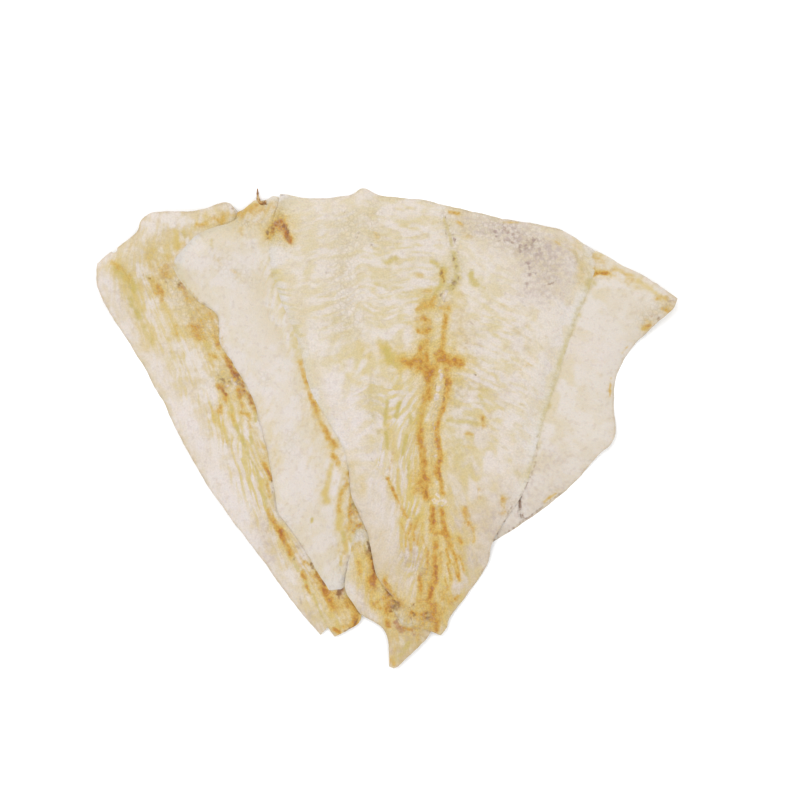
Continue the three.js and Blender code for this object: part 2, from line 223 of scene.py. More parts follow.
FRONT = {
    "node": "fillet_front",
    "slot": "front_flesh",
    "phase": 5.3,
    "cells": (300, 116, 116),
    "seam": [(19.4, -84), (19.5, -65), (21, -40), (17.5, -5), (21.5, 20), (23.5, 47),
             (30.5, 68), (26, 91.5)],
    "left": [(5, -78.4), (3, -75), (4, -72), (-4, -61), (-8, -43), (-14, -29.5),
             (-18, -8), (-31, 15), (-37, 37), (-45, 56.5), (-48.5, 75), (-44, 97)],
    "right": [(22.4, -85.4), (24.6, -82.6), (25.4, -79), (41, -57), (43.5, -46.5), (57, -24.5),
              (62, -6), (74.5, 35), (83.5, 59), (86, 66), (85, 73.5)],
    "tail_left": [(15.6, -82.6), (12.8, -83.6), (9.8, -81.4), (7.2, -82)],
    "head_left": [(11, 95), (-3, 96.3), (-10, 99), (-14.6, 96.3), (-24, 95.2), (-34, 95)],
    "head_right": [(46.5, 87), (71, 82)],
    "tucked": (),
    "curls": [(-46, 98, 14, 0.5), (43, -49, 9, 1.2), (-12, 99, 7, 1)],
    "slant": (0.15, 2.6),
    "turn": ((0.72, 0.56), (0.56, 0.2)),
}

# Stains, as lists of strokes of one kind. A stroke is its half width, its strength, and the x and y
# of each point of its middle line, in millimetres; a pair in brackets changes from start to end. The
# kinds are flush (where a rim has dried onto what lies below), streak (where muscle bands show),
# pale, yellow, olive, roast, red, dark, membrane (skin left on the flesh, and painted shade), bruise
# (and painted shadow), bead (pale spots on top) and rough (crackled skin). Each roast stroke also
# gets a wide faint halo. Some dark, bruise and membrane strokes are painted shade, not stains: along
# rims, at the edge of the grey skin, in the split and on flesh that lies darker.
STAIN_KINDS = ("flush", "streak", "pale", "yellow", "olive", "halo", "roast", "red", "dark",
               "membrane_and_shade", "bruise_and_shade", "bead", "rough")

# The dark spots at the top corner where the front fillet lies on the middle one: both carry them.
CORNER_SPOTS = [
    ("roast", [(2.9, (0.45, 0.9), -44.5, 89.5, -44.5, 84.5), (1.9, 0.95, -45.5, 84.5, -48.5, 79),
        (1.9, 1.05, -42.5, 84.5, -40.5, 77.5)]),
    ("red", [(1.4, 0.95, -43.7, 85.5, -45.7, 84.7, -47.4, 80.5),
        (1.5, 1.1, -41.6, 83.4, -40.4, 77.2)]),
    ("dark", [(0.95, 0.7, -47, 83.4, -46.1, 81), (0.8, 0.8, -49, 82.2, -49.4, 78.5),
        (1, 0.85, -42.4, 83.4, -40.4, 81.4, -40.8, 78.1), (0.55, 0.6, -44.9, 91.3, -44.5, 89.6)]),
    ("pale", [(1.6, 0.6, -44.1, 80.1, -44.5, 73.5)]),
    ("rough", [(4, 0.9, -44, 88, -44, 77.5)]),
]

# Where the front fillet has dried onto the middle and right ones.
LEFT_JOIN = [
    ("flush", [(9, 1.5, -44, 98.5, -48.5, 75, -45.5, 56.5, -37, 37.5),
        (5.5, (1.3, 0.8), -37, 37.5, -31, 15, -20, -7)]),
    ("olive", [(1.8, 0.3, -49, 71.5, -46.1, 58.3, -42.4, 48.8, -39.1, 39.3, -36.3, 29.9)]),
    ("streak", [(4, 0.5, -47.5, 66, -42.5, 49, -37.5, 34.5)]),
]
RIGHT_JOIN = [
    # The dark strokes are painted shade: a thin line along the front fillet's right rim, on both
    # fillets.
    ("dark", [(0.5, (0.3, 0.6), 62.2, -3.1, 61.4, -12.2, 58.9, -20.8, 54.4, -27.8),
        (0.55, 0.6, 51.5, -31.9, 47.8, -39.3, 44.5, -45.5)]),
    ("pale", [(4, 0.4, 74, 65.5, 72, 40.5, 67, 26)]),
    ("flush", [(9.5, (1.6, 1), 89.5, 79.5, 84.5, 64.5, 75.5, 36.5, 69, 11.5, 63, -4.5),
        ((7, 5), (1, 0.6), 63, -4.5, 58, -21, 51.5, -33.5)]),
    ("olive", [
        (1.6, (0.55, 0.4), 83.6, 60.4, 79.5, 49.6, 76.2, 40.6, 71.3, 27.4, 68.4, 15, 64.3, 3.5,
         61.8, -9.7, 58.1, -21.2)]),
]

# The marks across the front fillet's torn tail, which run on over the tail piece.
TORN_SPOTS = [
    ("roast", [(2, (0.9, 1.1), -1, -63.5, 1.5, -68.5, 4, -72.5),
        (5, 0.5, 3, -73, 9.5, -79.5, 17.5, -79.5), (1.2, 1, 7.8, -82.6, 9.9, -83),
        (0.9, 0.6, 12.8, -83.4, 12.8, -87.1)]),
    ("red", [((0.9, 1.2), (0.6, 0.9), -0.4, -65.7, 1.6, -69.4, 2.9, -71.9),
        (1.3, 0.9, 1.6, -72.7, 1.2, -74.8), (1.3, 1.1, 4.1, -80.1, 4.9, -82.2),
        (3.2, 0.45, 7, -80.5, 17, -84.5), (1.4, 1.2, 5.8, -83.4, 7.4, -83),
        (1, 0.8, 10.7, -83.4, 11.1, -84.3)]),
    ("dark", [(1.5, 1.5, 4.1, -72.7, 2.1, -74.8)]),
    ("bruise_and_shade", [(0.9, 0.6, 3.7, -76.8, 4.5, -78.9)]),
    ("membrane_and_shade", [(3, 0.5, 7, -84, 17.5, -84.5)]),
]

FRONT_STAINS = CORNER_SPOTS + TORN_SPOTS + LEFT_JOIN + RIGHT_JOIN + [
    ("flush", [(5, 1, 5.5, -79.5, 13.5, -84)]),
    # where its muscle bands show, and the golden flesh over the tail
    ("streak", [(10.5, 0.25, 13, 84, 11, 59, 8.5, 36.5), (12, 0.2, -1, 84, -5, 57, -6, 34.5),
        (11.5, 0.2, -27, 77.5, -25.5, 53, -21.5, 32.5), (8, 0.85, 4.5, 18, 3, -0.5, 6, -21),
        ((9, 7), 0.4, -11, 22, -8.5, 3.5, -3, -13), (8.5, 0.45, 32.5, 18, 33.5, -0.5, 34, -21),
        (12, 0.3, 46.5, 44.5, 48.5, 16, 48.5, -13), (6, 1, 9.5, -31.5, 10.5, -46, 13.5, -64.5),
        (8, 0.75, 28.5, -46, 28, -60.5, 25, -75)]),
    ("roast", [(2.8, 0.4, 15.5, 52, 15, 37.5), (1.6, 0.35, 24.3, 51.3, 23.5, 34.4)]),
    ("pale", [(7, 0.35, 37.5, -7, 46.5, -21)]),
    ("yellow", [(3, 0.6, 0, 4.5, 4, -12), ((7, 9), 0.15, 20, -37.5, 19.5, -58.5, 15, -79.5),
        ((4.5, 5.5), 0.3, 13.5, 11.5, 13.5, -4.5, 16, -31.5), (6, 0.4, 2, 29, 17.5, 29, 31, 27.5),
        (4, 0.3, 26, 23.5, 24.5, -4.5, 26, -29.5), (4, 0.3, 18.5, 54.5, 18.5, 34.5),
        (3, 0.4, 37.5, -59, 26, -76.5), (4, 0.6, 78.5, 75, 81, 68.5, 79.5, 60.5)]),
    # the cross
    ("roast", [((2.4, 3.2), (0.65, 1.1), 5, 28, 8.5, 27, 13.5, 25.5),
        (2.5, 1, 13, 27.5, 16.5, 25, 20, 23.5), (1.9, (0.7, 0.9), 16.5, 36, 13.5, 32.5, 13.5, 28),
        (1.4, 0.9, 16.5, 32.3, 16.5, 27.4),
        ((1.3, 1.9), (0.75, 1), 23.5, 37.5, 22.5, 32.5, 24.5, 29),
        (2.5, 1.1, 22, 28.5, 27, 28, 30.5, 27), (1.5, 0.7, 20.2, 30.3, 21, 25.8)]),
    ("red", [(1.6, 0.55, 14.4, 25.8, 17.7, 24.5, 20.2, 21.6),
        (1.4, 0.45, 24.7, 29.5, 28.4, 28.2, 29.7, 25.3), (0.9, 0.5, 10.3, 27.8, 12.4, 24.9)]),
    ("olive", [(2.1, 0.9, 0, 32, 1, 29, 4, 26.5), (1.4, 0.8, 14.8, 35.2, 14, 32.3)]),
    ("yellow", [(3.5, 0.9, -0.5, 32.5, 3.5, 29, 7, 26)]),
    # the dark line on the left of the seam, and the flesh that it has coloured
    ("roast", [(2.6, 1, 18, 22.5, 17.5, 17.5, 17, 13.5),
        (2.2, (0.75, 0.55), 17, 14, 15, 9.5, 14, 4.5, 13.5, 0),
        (2, 1.1, 14, -2, 14.5, -7, 15, -12, 15.5, -17, 16, -22),
        ((2.8, 2.3), 1, 15, -22, 15.5, -25.5, 17, -28.5), (2.2, 0.5, 11, -18, 11.5, -27)]),
    ("yellow", [(2.6, 0.8, 15.5, 11.5, 14, 7, 13.5, -0.5)]),
    ("red", [(1.2, (0.35, 0.65), 14.8, -7.2, 15.7, -13, 15.7, -17.1, 16.1, -21.6),
        (0.9, 0.5, 17.7, 20, 17.7, 15)]),
    ("dark", [(0.85, 0.4, 14, -23.3, 16.1, -26.6, 17.3, -30.7)]),
    ("olive", [(1.5, 0.8, 13.2, 6.8, 12.8, -0.6)]),
    # the dark line on its right
    ("roast", [((2.2, 1.8), 0.85, 25, 23.5, 25, 16.5, 24.5, 12.5),
        (1.3, 1.1, 23.5, 10.9, 22.2, 5.6, 21, 1), (1.4, 1.15, 20.6, -0.6, 21, -6.8, 22.2, -11.3),
        (1.4, 1.2, 21.8, -13.4, 21, -17.5, 21.8, -21.2, 23.1, -26.6)]),
    ("dark", [(0.5, 0.8, 24.3, 19.6, 23.9, 15.9, 23.5, 12.6), (0.7, 0.4, 23.5, 11.7, 23.1, 8.4),
        (0.8, 0.6, 21.8, -19.6, 21.8, -21.6)]),
    ("red", [(0.9, 0.85, 21.8, -13.4, 21.4, -17.1, 21.8, -21.6), (0.8, 0.6, 20.2, -3.1, 21, -7.2),
        (0.8, 0.6, 24.3, 16.7, 23.1, 10.1)]),
    # the beaded strip between them, and the pale knot at its end
    ("roast", [(1.6, 0.3, 20.2, 10.1, 19, -0.6, 18.5, -19.2)]),
    ("bead", [(0.9, 1.1, 22.2, 23.7, 22.7, 19.6), (1.1, 1.1, 21, 16.7, 20.2, 12.6),
        (0.6, 0.45, 20.2, 10.1, 19.4, 4.3, 19.4, -1.4), (0.7, 0.45, 19.8, -7.2, 20.2, -11.7),
        ((0.8, 1), 0.7, 20.2, -22, 21, -28.2), (1.6, 0.8, 20.2, -29.9, 23.5, -30.7)]),
    ("pale", [(2, 0.4, 11, 18.5, 13.5, 16.5, 11.5, 12.5)]),
    ("dark", [(0.4, 0.9, 20.6, 19.2, 19.8, 15.9)]),
    ("rough", [(1.7, 1, 20.6, 12.6, 19.4, -0.6, 19.4, -11.3)]),
    ("olive", [(1, 0.5, 18.5, -13.8, 18.5, -21.2)]),
    ("bruise_and_shade", [(0.7, 0.5, 21, -32.3, 24.3, -32.3)]),
    # the broken band below it
    ("roast", [(1.5, 1.15, 19, -32.8, 19, -41.8),
        (1.4, 1, 22.7, -33.2, 23.1, -37.7, 24.7, -43.5, 26, -48.4),
        (1.6, 0.7, 20.2, -42.2, 23.5, -43.1), (0.9, 0.7, 20.2, -47.2, 20.6, -49.2),
        (1.8, (0.7, 1.2), 20, -46.5, 19.5, -52.5, 20, -57.5, 20, -63),
        (1.7, 1.15, 18.5, -63.7, 18.1, -69, 18.1, -73.5), (2, 1.1, 19.5, -73.5, 20, -79, 20, -83.5),
        (3.6, 0.2, 22, -37.5, 21, -54, 20, -72.5)]),
    ("red", [(0.85, 0.7, 19, -33.6, 19.4, -40.2), (0.75, 0.45, 22.2, -34.4, 23.5, -41),
        (0.9, 0.8, 20.2, -54.2, 20.6, -61.6), (0.9, 0.8, 18.5, -65.3, 18.1, -71.9)]),
    ("olive", [(1.3, 0.8, 20.2, -45.5, 20.6, -48.4)]),
    # the strands on its right
    ("roast", [(1, 0.8, 29.7, -45.1, 30.5, -46.8), (0.65, 0.8, 24.3, -49.6, 26, -55),
        (0.65, 0.75, 26.8, -48.8, 28.4, -54.2, 29.7, -59.9), (0.65, 0.75, 24.7, -55.4, 26.4, -62),
        (0.6, 0.7, 23.9, -61.6, 25.1, -66.5), (0.65, 0.8, 27.2, -55.8, 29.7, -62.4),
        (0.6, 0.7, 29.7, -52.5, 31.7, -58.3), (0.8, 0.6, 16.9, -50.9, 16.5, -59.9),
        (0.8, 0.55, 22.2, -50.9, 22.7, -59.1), (1.2, 0.65, 22.7, -67.4, 22.7, -70.2),
        (4, 0.35, 29.5, -46, 29, -60.5, 26.5, -70.5), (2.6, 0.3, 24.5, -70.5, 22.5, -79.5),
        (0.9, 0.6, 28, -70.2, 29.7, -69), (2.1, 0.65, 31.5, -33, 34, -39),
        (1.1, 0.65, 35.4, -41.4, 35.8, -46.3)]),
    ("olive", [(0.8, 0.9, 27.2, -49.6, 29.3, -54.2), (0.8, 0.9, 29.7, -47.6, 31.3, -53.4),
        (0.9, 1, 31.3, -54.2, 33, -59.9), (1.1, 1, 23.1, -62.8, 23.1, -64.9)]),
    # painted shadow: a spot at the front fillet's right rim
    ("bruise_and_shade", [(0.75, 0.5, 38.7, -59.9, 40.4, -56.6)]),
    # the strands on its left
    ("roast", [(0.75, 0.4, 2.5, -10.1, 1.6, -15.4, 0.8, -20), (0.9, 0.85, 0.4, -20.8, 1.2, -22.9),
        (0.9, 0.85, 2.1, -24.5, 3.3, -27.8), (0.95, 0.6, 3.7, -28.6, 5.8, -31.9, 6.6, -34.8),
        (1, 0.8, 7, -34.4, 8.2, -36.9), (0.6, 0.6, 5.8, -39.3, 7.4, -43.5, 7.8, -48.4),
        (0.6, 0.6, 9.9, -39.3, 9.1, -44.3, 9.9, -50.1),
        (0.7, 0.7, 13.2, -36.5, 11.5, -40.6, 11.1, -45.9),
        (0.6, 0.6, 14.8, -39.3, 13.2, -43.5, 12.8, -48.4), (0.9, 0.7, 14.8, -44.7, 16.1, -50.1),
        (1.05, 0.7, 13.6, -61.2, 14, -66.5), (2, 0.5, 14, -60.5, 14.5, -75),
        (3.6, 0.4, 10.5, -34.5, 11, -48, 15, -55)]),
    ("olive", [(1, 1.1, 9.1, -34, 9.5, -36), (1.15, 1.2, 13.2, -35.6, 11.5, -38.1, 10.3, -41.4),
        (1.1, 1.2, 14, -45.1, 13.6, -50.9), (1.1, 0.9, 0, 10.9, -0.8, 2.7),
        (1.1, 1, 5.4, 10.5, 4.1, 5.1), (1.1, 0.9, -0.4, -1.4, 0.4, -8),
        (1.1, 1, 7.8, -3.1, 6.6, -10.5), (1.1, 0.8, 9.5, 5.6, 9.9, 3.1),
        (1, 0.9, 9.5, -13.8, 8.7, -20), (1.7, 0.4, -7, 17.9, -5.4, 5.6, -3.7, -3.1)]),
    ("yellow", [(1, 1, 15.2, -32.8, 14, -38.5, 15.2, -43.5),
        (0.9, 0.9, 6.2, -37.7, 5.8, -45.9, 7, -50.9), (1, 0.9, 4.9, -17.1, 4.5, -23.7, 6.2, -30.3),
        (1, 0.9, 9.5, -21.2, 9.1, -29.5)]),
    ("bruise_and_shade", [(2.9, 0.25, 4.5, -52.5, 11, -55, 16, -58.5)]),
    # the bars and the two columns above the cross
    ("roast", [(1.4, 0.8, 12.8, 49.2, 18.1, 50.5), (1.7, 0.85, 12.8, 44.7, 17.3, 43.9),
        (1.4, 0.8, 12.8, 40.2, 17.3, 40.2), (1.4, 0.8, 19.8, 53.8, 18.5, 50.9),
        (1.5, 0.6, 23.1, 64.9, 23.1, 60.8), (1.3, 0.8, 22.2, 50.1, 25.1, 49.6),
        (1.2, 0.8, 24.3, 46.3, 23.9, 42.2), (0.85, 0.65, 23.5, 41.4, 23.1, 37.3),
        (0.9, 0.45, 12.4, 62.8, 15.2, 63.2), (0.9, 0.4, 15.7, 56.6, 18.1, 56.6)]),
    ("olive", [(1.2, 0.7, 16.5, 54.2, 18.5, 53.8), (1.3, 0.8, 22.2, 59.5, 20.6, 57.1, 20.2, 54.6),
        (2, 0.9, 23.5, 65.5, 23, 60.5), (1.6, 0.9, 26, 57.9, 29.3, 61.6),
        (1.2, 0.7, 18.5, 68.6, 21, 67.4), (1.5, 0.7, -0.8, 69, 3.7, 69.8),
        (0.9, 0.6, 5.8, 55.8, 9.9, 56.2), (1, 0.5, -4.9, 59.5, 0.4, 57.1),
        (1.4, 0.45, -2.9, 36.5, 1.2, 35.6), (1.8, 0.95, 34.5, 63.5, 36, 59.5),
        (0.95, 0.5, 37.1, 58.7, 40, 57.9)]),
    ("dark", [(1.2, 0.8, 22.7, 65.3, 23.1, 61.2), (1, 0.75, 26.8, 59.1, 28.4, 60.8)]),
    ("bead", [(0.95, 0.7, 24.7, 56.6, 23.9, 54.2, 21.8, 51.7)]),
    ("rough", [(2, 1, 26, 58.5, 23.5, 54, 21.5, 50.5)]),
    # the braid-like line down from the collar
    ("rough", [(2.4, 1, 23.5, 89, 26, 79, 28, 72.5, 29.5, 66, 28, 60.5)]),
    ("olive", [(1, 0.7, 23.5, 86.7, 25.5, 81, 26.8, 75.6),
        (1.5, 0.75, 27.2, 72.7, 28.8, 67, 29.3, 62.8)]),
    ("dark", [(0.7, 0.6, 27.6, 70.7, 29.3, 66.1), (0.4, 0.7, 23.9, 87.1, 24.3, 85.5),
        (0.4, 0.7, 25.5, 83.4, 26.4, 81.4), (0.4, 0.7, 24.3, 80.5, 24.7, 78.5),
        (0.4, 0.7, 28.4, 78.1, 28.4, 75.6), (0.4, 0.7, 26, 75.6, 26.8, 73.5),
        (0.4, 0.7, 29.3, 73.1, 29.7, 70.7), (0.4, 0.7, 27.2, 70.7, 27.6, 68.6),
        (0.4, 0.7, 30.5, 68.6, 30.5, 66.1), (0.4, 0.7, 28.4, 66.1, 28.8, 64.1),
        (0.4, 0.7, 30.1, 63.2, 29.3, 61.2), (0.4, 0.7, 26.4, 61.6, 27.2, 59.9),
        (0.4, 0.7, 27.2, 57.5, 26, 55.8), (0.4, 0.7, 25.1, 58.7, 24.3, 57.1),
        (0.4, 0.7, 23.1, 56.2, 21.8, 54.2), (0.4, 0.7, 24.7, 54.2, 23.5, 52.1),
        (0.4, 0.7, 21, 52.1, 20.2, 50.1)]),
    ("bruise_and_shade", [(0.5, 0.9, 27.2, 79.7, 28, 76.8)]),
    ("bead", [(0.7, 0.5, 29.7, 72.7, 30.9, 67)]),
    # lines that run out beside the seam
    ("dark", [(0.9, 0.6, 40, 3.9, 40, 1.9)]),
    ("roast", [(1.4, 0.8, 39.6, 4.3, 40, 0.6), (0.95, 0.5, 31.7, -1.9, 35, -2.3),
        (0.8, 0.4, 31.7, -7.2, 35.8, -8), (1.05, 0.45, 37.5, -23.7, 37.9, -27.8),
        (1.2, 0.5, 47.8, -29, 47.8, -34.8)]),
    ("olive", [(1, 0.55, 25.1, 3.1, 32.1, 2.7, 38.3, 1.9), (1, 0.5, 26.8, -3.1, 30.9, -5.6),
        (0.9, 0.5, 34.2, 16.3, 40.8, 15.9), (1.1, 0.5, 38.3, 13.4, 40, 10.9)]),
    # the marks and the crackled skin at the tail
    ("dark", [(0.7, 1.2, 11.1, -76, 11.5, -76.8), (0.8, 1.4, 16.5, -75.6, 16.9, -77.7),
        (0.4, 0.8, 9.5, -73.5, 11.9, -71.5), (0.4, 0.6, 9.9, -78.1, 10.7, -80.5),
        (0.4, 0.6, 17.3, -78.9, 18.1, -80.5), (0.6, 0.7, -1.6, -64.5, 1.2, -68.6, 3.7, -72.7)]),
    ("roast", [(1, 0.8, 10.3, -76, 15.7, -76), (3.4, 0.35, 11, -71.5, 15, -80.5),
        (2.4, 0.2, 46.5, -34.5, 49, -28.5)]),
    ("pale", [(1.2, 0.6, 5.8, -75.6, 6.6, -79.7), (8.5, 0.3, -27, 89, -24.5, 65.5),
        (8, 0.3, 0.5, 20, 3.5, -29.5), (5, 0.35, 0.5, 37.5, 5.5, 34),
        (5, 0.75, -23.5, 20, -18.5, -4.5), (4, 0.4, 2, -0.5, 4.5, -29.5)]),
    ("rough", [(5, 0.9, 6, -75.5, 11, -80.5, 16, -78), (4, 0.7, 7, -54, 16, -59)]),
    ("yellow", [(5, 0.5, 28, 57, 31, 36.5), (3, 0.45, -10.5, 34.5, -7, 29.5),
        (3, 0.35, -3, 20, 3.5, 16.5), ((5, 4), 0.35, 29.5, 18.5, 38.5, 14),
        (3.5, 0.35, -15, -11, -8.5, -25.5)]),
    ("membrane_and_shade", [(6, 0.3, 29.5, 45.5, 34, 34.5), (6, 0.25, 26, 21, 50.5, 16),
        # the second stroke on the next line is painted shade by the front fillet's right rim, near
        # the split
        (4, 0.3, 52.5, 38.5, 55, 34.5), (6, 0.6, 41.5, -41, 48.5, -29.5),
        (4, 1.1, 11, -43.5, 11, -52.5, 16, -54), (5, 0.9, 33.5, -37.5, 30, -49, 32.5, -54),
        (7, 0.35, 22, -66.5, 26, -79), (5, 0.2, 26, 20, 36.5, -2.5), (4, 0.4, 1, -58.5, 7, -66.5)]),
    ("olive", [(5, 0.2, 29, 53, 31, 34.5), (5.5, 0.25, 29, 22, 31, -13),
        (7, 0.1, 29.5, 11.5, 34, -13)]),
    # specks
    ("dark", [(0.5, 1, 32.1, 35.2, 32.5, 34.8), (0.5, 1.1, 35.8, 22, 36.7, 22),
        (0.5, 0.9, -6.2, -12.2, -6.2, -13.4), (0.55, 1.1, -11.1, -33.6, -11.1, -34),
        (0.4, 0.6, -17.3, 43.9, -16.5, 43.5)]),
    ("bruise_and_shade", [(0.6, 0.4, 35, 44.7, 35.4, 42.2)]),
    ("roast", [(1.1, 0.4, -6.6, 83.4, -3.7, 78.5), (0.95, 0.75, 26, 89.2, 29.3, 88.8),
        (0.8, 0.65, 28.8, 85.5, 30.9, 83.8), (1.3, 0.3, 55.2, 24.5, 59.3, 28.2)]),
    # the crackled skin down the left, and the smooth pale flesh
    ("dark", [(0.5, 0.5, -17.7, 89.6, -17.3, 88), (0.5, 0.5, -20.6, 83.8, -19.4, 83.4),
        (0.5, 0.5, -17.3, 82.2, -14.4, 83), (0.55, 0.5, -11.5, 80.1, -12.4, 78.5),
        (0.55, 0.7, -5.4, 77.2, -6.2, 75.2), (0.55, 0.4, -13.2, 70.2, -14, 67.8),
        (0.6, 0.4, -29.3, 60.8, -28.4, 58.3), (0.5, 0.4, -25.1, 64.1, -24.7, 62.4),
        (0.55, 0.4, -9.9, 52.1, -9.1, 49.6), (0.5, 0.6, 1.2, 94.6, 4.5, 94.6)]),
    ("rough", [(6.2, 0.9, -15, 85, -17.5, 65.5, -16.5, 42.5),
        ((4, 3), 0.8, -4.5, 91, -6.5, 82.5, -3, 77.5), (3, 0.6, -6, 18, -5, 5.5),
        (3, 0.7, 29.5, 18, 28, 9.5)]),
    ("pale", [(5, 0.15, -27, 71.5, -26, 57), (5.2, 0.5, -13.5, 14, -10.5, -4.5, -3.5, -37.5),
        (3, 0.5, 8, -64, 8, -70.5), (8, 0.35, 38.5, 72.5, 50, 68, 55, 53),
        (5, 0.5, 2, -37.5, 2, -50)]),
    # the grey skin left on the collar corner, and its dark border, which is painted shadow along the
    # skin's edge
    ("membrane_and_shade", [((4.5, 5.5), 0.75, 33.5, 84.5, 42.5, 82.5, 51.5, 80.5),
        (6.5, 1, 52.5, 79.5, 61, 75, 68, 73.5), (6.8, 0.85, 62, 68.5, 68, 68),
        (5.5, 0.55, 63, 62, 69.5, 59.5), (5, 0.25, 73.5, 71.5, 78.5, 67),
        (4.5, 0.55, 55, 56, 65, 54)]),
    ("bruise_and_shade", [(2.4, 0.7, 47, 82, 52.5, 80), (1.8, 1.2, 57, 75.5, 60, 77),
        (2.5, 0.35, 62, 75.5, 63, 72.5), (0.6, 1.1, 54.4, 75.2, 54.8, 72.7),
        (0.5, 0.9, 46.1, 77.2, 48.6, 77.2, 51.5, 76.4),
        (0.7, 0.7, 55.6, 69.8, 58.1, 67.8, 58.9, 64.5, 57.7, 61.6, 57.7, 58.7),
        (0.5, 0.8, 59.3, 64.1, 61.4, 63.7), (0.5, 0.8, 44.1, 82.6, 44.9, 78.9),
        (0.5, 0.8, 47.4, 55.8, 51.5, 54.6)]),
    ("dark", [(0.6, 0.8, 65.5, 59.1, 67.2, 59.1, 69.6, 61.2)]),
    ("olive", [(1.15, 0.6, 52.7, 71.9, 53.6, 72.7), (1.2, 0.45, 77, 74, 80.3, 65.3)]),
    ("roast", [(0.7, 0.55, 48.2, 85.1, 54, 85.1), (0.85, 0.6, 69.6, 76.8, 70.9, 76),
        (1.4, 0.35, 32.5, 79.3, 35.8, 79.3), (1.4, 0.5, 85.3, 71.1, 86.1, 66.1)]),
    ("rough", [(7, 1, 36.5, 84.5, 48.5, 81, 59, 75.5, 66.5, 66)]),
]

MIDDLE_STAINS = CORNER_SPOTS + LEFT_JOIN + [
    ("flush", [((8, 6), 1.2, -60.5, 85, -51.5, 94),
        (5.5, 1.3, -61.5, 85, -78, 81.5, -87, 73.5, -88, 66, -84.5, 58.5),
        (5, (0.4, 0.9), -51.5, -17, -42, -44, -25.5, -66.5),
        (6, 1, -19.5, -69, -15, -54, -14.5, -37.5)]),
    ("roast", [(2.5, 0.7, -62, 88.5, -56.5, 91), (3, 0.5, -53, 91.5, -42.5, 91.5),
        (4.5, 0.3, -62, 87.5, -53, 84.5, -45.5, 78.5), (1.1, 0.3, -61.4, 84.3, -59.7, 79.3),
        (0.75, 0.3, -71.3, 71.1, -68.4, 67.8, -61.4, 63.7)]),
    ("dark", [(0.5, 0.7, -57.3, 84.7, -56.9, 84.3), (0.4, 0.7, -62.2, 83, -61.8, 82.2)]),
    ("rough", [(3.6, 0.9, -59, 84.5, -51.5, 85), (5, 0.5, -68, 68.5, -55.5, 60.5)]),
    ("olive", [(0.9, 0.5, -72.1, 77.7, -71.7, 73.1)]),
    ("bruise_and_shade", [(0.6, 0.4, -55.2, 74.4, -54.8, 74), (0.7, 0.3, -56, 61.6, -55.2, 61.2)]),
    # stains along the front fillet's edge
    ("roast", [((1.3, 1.6), 0.6, -35.8, 27.4, -33, 17.9, -30.5, 11.3),
        (1.8, 0.7, -30.5, 11.3, -28.8, 5.1), (1.7, 0.8, -26.8, 1.9, -24.7, -2.3, -21.8, -7.2),
        (1.8, 0.95, -22, -11, -20, -14), (2, 0.4, -15, -40, -17.5, -52.5),
        (1.4, 0.8, -15.7, -18.7, -17.3, -24.5, -19, -28.6, -19.8, -34.4),
        (0.9, 0.7, -14.8, -27.4, -15.2, -32.8, -15.2, -40.6), (3, 0.6, -13, -33.5, -11, -39.5),
        (0.6, 0.85, -14, -42.6, -12.8, -40.6, -10.7, -39.8),
        (0.8, 0.4, -88.2, 68.6, -83.2, 59.5, -77, 52.1, -72.1, 48.4, -68.8, 41.4, -67.6, 32.8)]),
    ("pale", [(0.6, 1, -25.1, -8.4, -19.8, -10.5), (1.5, 0.9, -19.8, -17.1, -21.4, -26.2),
        (1.1, 0.9, -17.3, -33.6, -16.9, -41.8),
        (8.5, 0.4, -62.5, 53, -51.5, 32.5, -42, 3.5, -34, -29.5)]),
    ("yellow", [(3.5, 0.3, -50, 11.5, -43.5, -17), (3, 0.5, -16.5, -19.5, -18.5, -37.5, -16.5, -54),
        (5, 0.25, -35, 7, -25.5, -29.5),
        (1.4, 0.85, -22.7, -15.4, -24.3, -21.2, -25.5, -26.6, -24.7, -29.9),
        (1.6, 0.95, -19.4, -35.2, -19.4, -41), (0.95, 0.85, -16.9, -47.6, -16.5, -50.5),
        (0.8, 0.7, -19, -52.9, -19, -56.2)]),
    ("olive", [(1.15, 0.85, -18.1, -42.6, -17.7, -46.8), (0.9, 0.65, -15.2, -43.1, -14.8, -48),
        (1.1, 0.85, -14, -31.1, -13.2, -32.8), (0.9, 0.9, -30.9, -37.3, -30.9, -38.1)]),
    ("dark", [(0.7, 0.7, -14, -31.1, -13.2, -32.8), (0.35, 0.8, -50.3, 16.3, -49.9, 15.4),
        # the next stroke is a darker brown line along the middle fillet's left rim: partly its own
        # colour, partly painted shade of the rim
        (0.5, 0.5, -80.3, 54.6, -77, 52.1, -73.7, 50.5, -71.3, 47.2, -69.6, 42.2, -68.8, 36.5)]),
    ("rough", [(3.6, 1, -13, -34.5, -12, -40), (2.5, 0.6, -51, 22.5, -50.5, 19),
        (3, 0.5, -39.5, -2.5, -40.5, -11)]),
    ("membrane_and_shade", [(1.2, 0.5, -15.7, -52.5, -16.9, -60.4, -19, -64.9)]),
]

